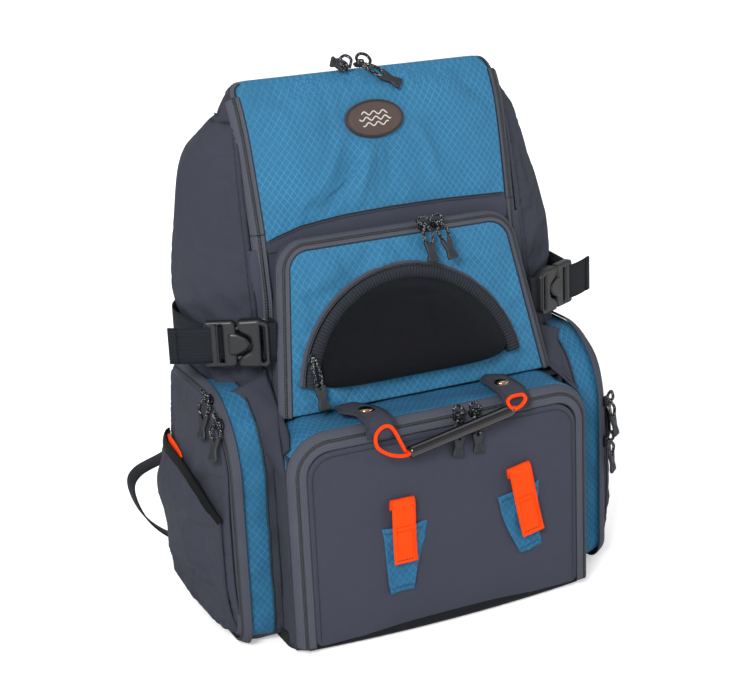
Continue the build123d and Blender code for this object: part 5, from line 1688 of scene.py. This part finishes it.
def zip_pulls():
    x = np.array([1.0, 0, 0])
    crown = np.array([0, 33.5, 540.6])
    n = unit([0, -22.0, 15.0])
    up = unit([0, 15.0, 22.0])
    for side, dx, ang, length in (("left", -18, 104, 19), ("right", 1, -38, 40)):
        c = crown + x * dx
        slider(
            f"main_{side}", f"main_{side}_slider", c + np.array([0, 10.0, 0.5]), x, (0, -0.25, 1.0),
            f"main_{side}_slider"
        )
        way = math.cos(math.radians(ang)) * x + math.sin(math.radians(ang)) * up
        a, s = c + n * 4.4, x
        if side == "left":
            pts = [
                a - s * 2, a + up * 6 - s * 6, a + up * 11 - s * 5, a + up * 13.5 + s * 1,
                a + up * 9 + s * 6, a + s * 2
            ]
            cord("main_left_loop", curve(pts, 0.8), 1.6, CORD, "main_left_pull", node="main_left_pull")
            pts = [
                a + n * 1.5, a + n * 2.6 + up * 4 - s * 9, a + up * 9 - s * 13, a + up * 10 - s * 6,
                a + n * 1.5 + up * 3
            ]
            cord("main_left_loop_b", curve(pts, 0.8), 1.4, CORD, "main_left_pull")
            pull(
                "main_left_end", "main_left_pull", a - s * 3, unit(-s * 0.9 + up * 0.45 + n * 0.2), n, 17,
                12
            )
        else:
            pts = [
                a + way * 2, a + up * 5 + s * 7, a + up * 12 + s * 4, a + up * 13.5 - s * 3,
                a + up * 8 - s * 7, a + way * 1
            ]
            cord("main_right_loop", curve(pts, 0.8), 1.6, CORD, "main_right_pull")
            pull("main_right", "main_right_pull", a, way, n, length, 21, node="main_right_pull")
    tape = DOOR_HEIGHT - 2.5
    for side, dx, ang in (("left", 27, -94), ("right", 42, -82)):
        body = f"pocket_{side}_slider"
        c = on_door(np.array([float(dx)]), np.array([tape + 0.6]), np.array([1.0]))[0]
        slider(f"pocket_{side}", body, c, x, DOOR_OUT, body)
        way = math.cos(math.radians(ang)) * DOOR_X + math.sin(math.radians(ang)) * DOOR_UP
        pull(
            f"pocket_{side}", body, c + DOOR_OUT * 5.4, unit(way + DOOR_OUT * 0.32), DOOR_OUT, 38, 19,
            spread=1.5
        )
        e = c + DOOR_OUT * 5.5
        loop = [
            e, e + DOOR_UP * 6 - DOOR_X * 9, e + DOOR_UP * 10 - DOOR_X * 2, e + DOOR_UP * 6 + DOOR_X * 5, e
        ]
        cord(f"pocket_{side}_loop", curve(loop, 0.8), 1.4, CORD, body)
    for side, dx, ang in (("left", 14, -96), ("right", 32, -88)):
        body = f"tackle_{side}_slider"
        c = np.array([dx, -122.0, 218.0])
        slider(f"tackle_{side}", body, c, x, (0, -1, 0), body)
        way = np.array([math.cos(math.radians(ang)), 0, math.sin(math.radians(ang))])
        pull(f"tackle_{side}", body, c + np.array([0, -4.4, -1]), way, (0, -1, 0), 40, 19, sag=-1.2)
        e = c + np.array([0, -4.0, 1.0])
        loop = [e, e + np.array([-6, 1, 6]), e + np.array([-1, 2.5, 10]), e + np.array([5, 1, 5]), e]
        cord(f"tackle_{side}_loop", curve(loop, 0.8), 1.4, CORD, body)
    a = math.radians(158)
    u, v = CASE_X + 116 * math.cos(a), 9.92 + 116 * math.sin(a)
    c = on_door(np.array([u]), np.array([v]), np.array([7.0]))[0]
    tangent = -math.sin(a) * DOOR_X + math.cos(a) * DOOR_UP
    slider("case", "case_slider", c, tangent, DOOR_OUT, "case_slider")
    way = math.cos(math.radians(274)) * DOOR_X + math.sin(math.radians(274)) * DOOR_UP
    pull("case", "case_pull", c + DOOR_OUT * 5.4, way, DOOR_OUT, 50, 22, node="case_pull", spread=1.0)
    stops = [
        ("left", "low", 136.0, None, 36), ("left", "high", 113.0, None, 40),
        ("right", "low", 180.0, 138.0, 36), ("right", "high", 178.0, None, 38)
    ]
    for side, k, ang, height, length in stops:
        sg = -1 if side == "left" else 1
        b = math.radians(ang)
        y, z = (-80.0, height) if height else (-5 + 75 * math.cos(b), 180 + 75 * math.sin(b))
        body = f"{side}_{k}_slider"
        run = np.array([0, math.sin(b), -math.cos(b)])
        out = unit([sg * 0.75, math.cos(b), math.sin(b)])
        c = np.array([sg * 208.5, y, z]) + np.array([sg * 0.3, math.cos(b), math.sin(b)]) * 0.6
        slider(f"{side}_{k}", body, c, run, out, body)
        down = unit(
            np.array(
                [
                    sg * (0.34 if ang < 150 else 0.15),
                    -0.30 if ang < 150 else (0.05 if k == "low" else -0.12), -1.0
                ]
            )
        )
        pull(
            f"{side}_{k}", body, c + out * 5.6, down, unit([sg, -0.5, 0.2]) if ang < 150 else out, length,
            20, spread=1.8
        )
        e = c + out * 5
        loop = [e, e + run * 5 + out * 5, e + run * 12 + out * 3, e + run * 6 - out * 1, e]
        cord(f"{side}_{k}_loop", curve(loop, 0.8), 1.6, CORD, body)


lower_compartment()
tackle_flap()
tool_holders()
handle()
main_flap()
badge()
top_panel()
wings()
front_and_pocket()
glasses_case()
side_pockets()
straps()
back_and_harness()
zip_pulls()


# ------------------------------------------------------------------ studio
def studio():
    floor_mat = bpy.data.materials.new("studio_floor")
    floor_mat.use_nodes = True
    b = floor_mat.node_tree.nodes["Principled BSDF"]
    b.inputs["Base Color"].default_value = (0.93, 0.93, 0.93, 1)
    b.inputs["Roughness"].default_value = 0.9
    b.inputs["Specular IOR Level"].default_value = 0.1
    b.inputs["Emission Color"].default_value = (1, 1, 1, 1)
    seen = floor_mat.node_tree.nodes.new("ShaderNodeLightPath")
    part = floor_mat.node_tree.nodes.new("ShaderNodeMath")
    part.operation = "MULTIPLY"
    where = floor_mat.node_tree.nodes.new("ShaderNodeNewGeometry")
    far = floor_mat.node_tree.nodes.new("ShaderNodeVectorMath")
    far.operation = "LENGTH"
    glow = floor_mat.node_tree.nodes.new("ShaderNodeMapRange")
    glow.inputs[1].default_value, glow.inputs[2].default_value = 0.5, 3.5
    glow.inputs[3].default_value, glow.inputs[4].default_value = 0.38, 0.8
    floor_mat.node_tree.links.new(where.outputs["Position"], far.inputs[0])
    floor_mat.node_tree.links.new(far.outputs["Value"], glow.inputs[0])
    floor_mat.node_tree.links.new(glow.outputs[0], part.inputs[1])
    floor_mat.node_tree.links.new(seen.outputs["Is Camera Ray"], part.inputs[0])
    floor_mat.node_tree.links.new(part.outputs[0], b.inputs["Emission Strength"])
    me = bpy.data.meshes.new("floor")
    me.from_pydata([(-12, -12, 0), (12, -12, 0), (12, 12, 0), (-12, 12, 0)], [], [(0, 1, 2, 3)])
    floor = bpy.data.objects.new("floor", me)
    me.materials.append(floor_mat)
    bpy.context.scene.collection.objects.link(floor)
    world = bpy.data.worlds.new("studio")
    world.use_nodes = True
    world.node_tree.nodes["Background"].inputs[0].default_value = (1, 1, 1, 1)
    tree = world.node_tree
    place = tree.nodes.new("ShaderNodeTexCoord")
    split = tree.nodes.new("ShaderNodeSeparateXYZ")
    ramp = tree.nodes.new("ShaderNodeMapRange")
    ramp.inputs[1].default_value, ramp.inputs[2].default_value = 0.0, 1.0
    ramp.inputs[3].default_value, ramp.inputs[4].default_value = 0.70, 0.30
    tree.links.new(place.outputs["Generated"], split.inputs[0])
    tree.links.new(split.outputs[2], ramp.inputs[0])
    tree.links.new(ramp.outputs[0], tree.nodes["Background"].inputs[1])
    bpy.context.scene.world = world
    bpy.context.scene.view_settings.view_transform = "Standard"
    lamps = [
        ("key", (-1.5, -1.7, 1.7), 0.9, 62),
        ("fill", (1.9, -1.5, 0.9), 1.6, 16),
        ("top", (0.2, 0.4, 2.4), 1.8, 10),
        ("rim", (0.4, 2.2, 1.3), 1.2, 10),
    ]
    for name, where, size, power in lamps:
        light = bpy.data.lights.new(name, "AREA")
        light.size = size
        light.energy = power
        ob = bpy.data.objects.new(name, light)
        ob.location = where
        ob.rotation_euler = (Vector((0, 0, 0.27)) - Vector(where)).to_track_quat("-Z", "Y").to_euler()
        bpy.context.scene.collection.objects.link(ob)


CAMERA_AZIMUTH, CAMERA_ELEVATION, CAMERA_ROLL = -24.8, 17.5, 2.5  # degrees
CAMERA_DISTANCE, CAMERA_TARGET = 1.716, (0, 0, 0.27)  # metres
FOCAL_IN_IMAGE, IMAGE_WIDTH, SENSOR_WIDTH = 1670, 750, 36


def camera():
    azimuth, elevation, roll = (math.radians(a) for a in (CAMERA_AZIMUTH, CAMERA_ELEVATION, CAMERA_ROLL))
    target = Vector(CAMERA_TARGET)
    away = Vector(
        (
            math.sin(azimuth) * math.cos(elevation), -math.cos(azimuth) * math.cos(elevation),
            math.sin(elevation)
        )
    )
    cam = bpy.data.cameras.new("camera")
    cam.sensor_width = SENSOR_WIDTH
    cam.lens = FOCAL_IN_IMAGE / IMAGE_WIDTH * SENSOR_WIDTH
    cam.shift_x, cam.shift_y = -0.0184, -0.0195
    ob = bpy.data.objects.new("camera", cam)
    look = (-away).to_track_quat("-Z", "Y").to_matrix() @ Matrix.Rotation(-roll, 3, "Z")
    ob.matrix_world = Matrix.Translation(target + away * CAMERA_DISTANCE) @ look.to_4x4()
    bpy.context.scene.collection.objects.link(ob)
    bpy.context.scene.camera = ob


studio()
camera()
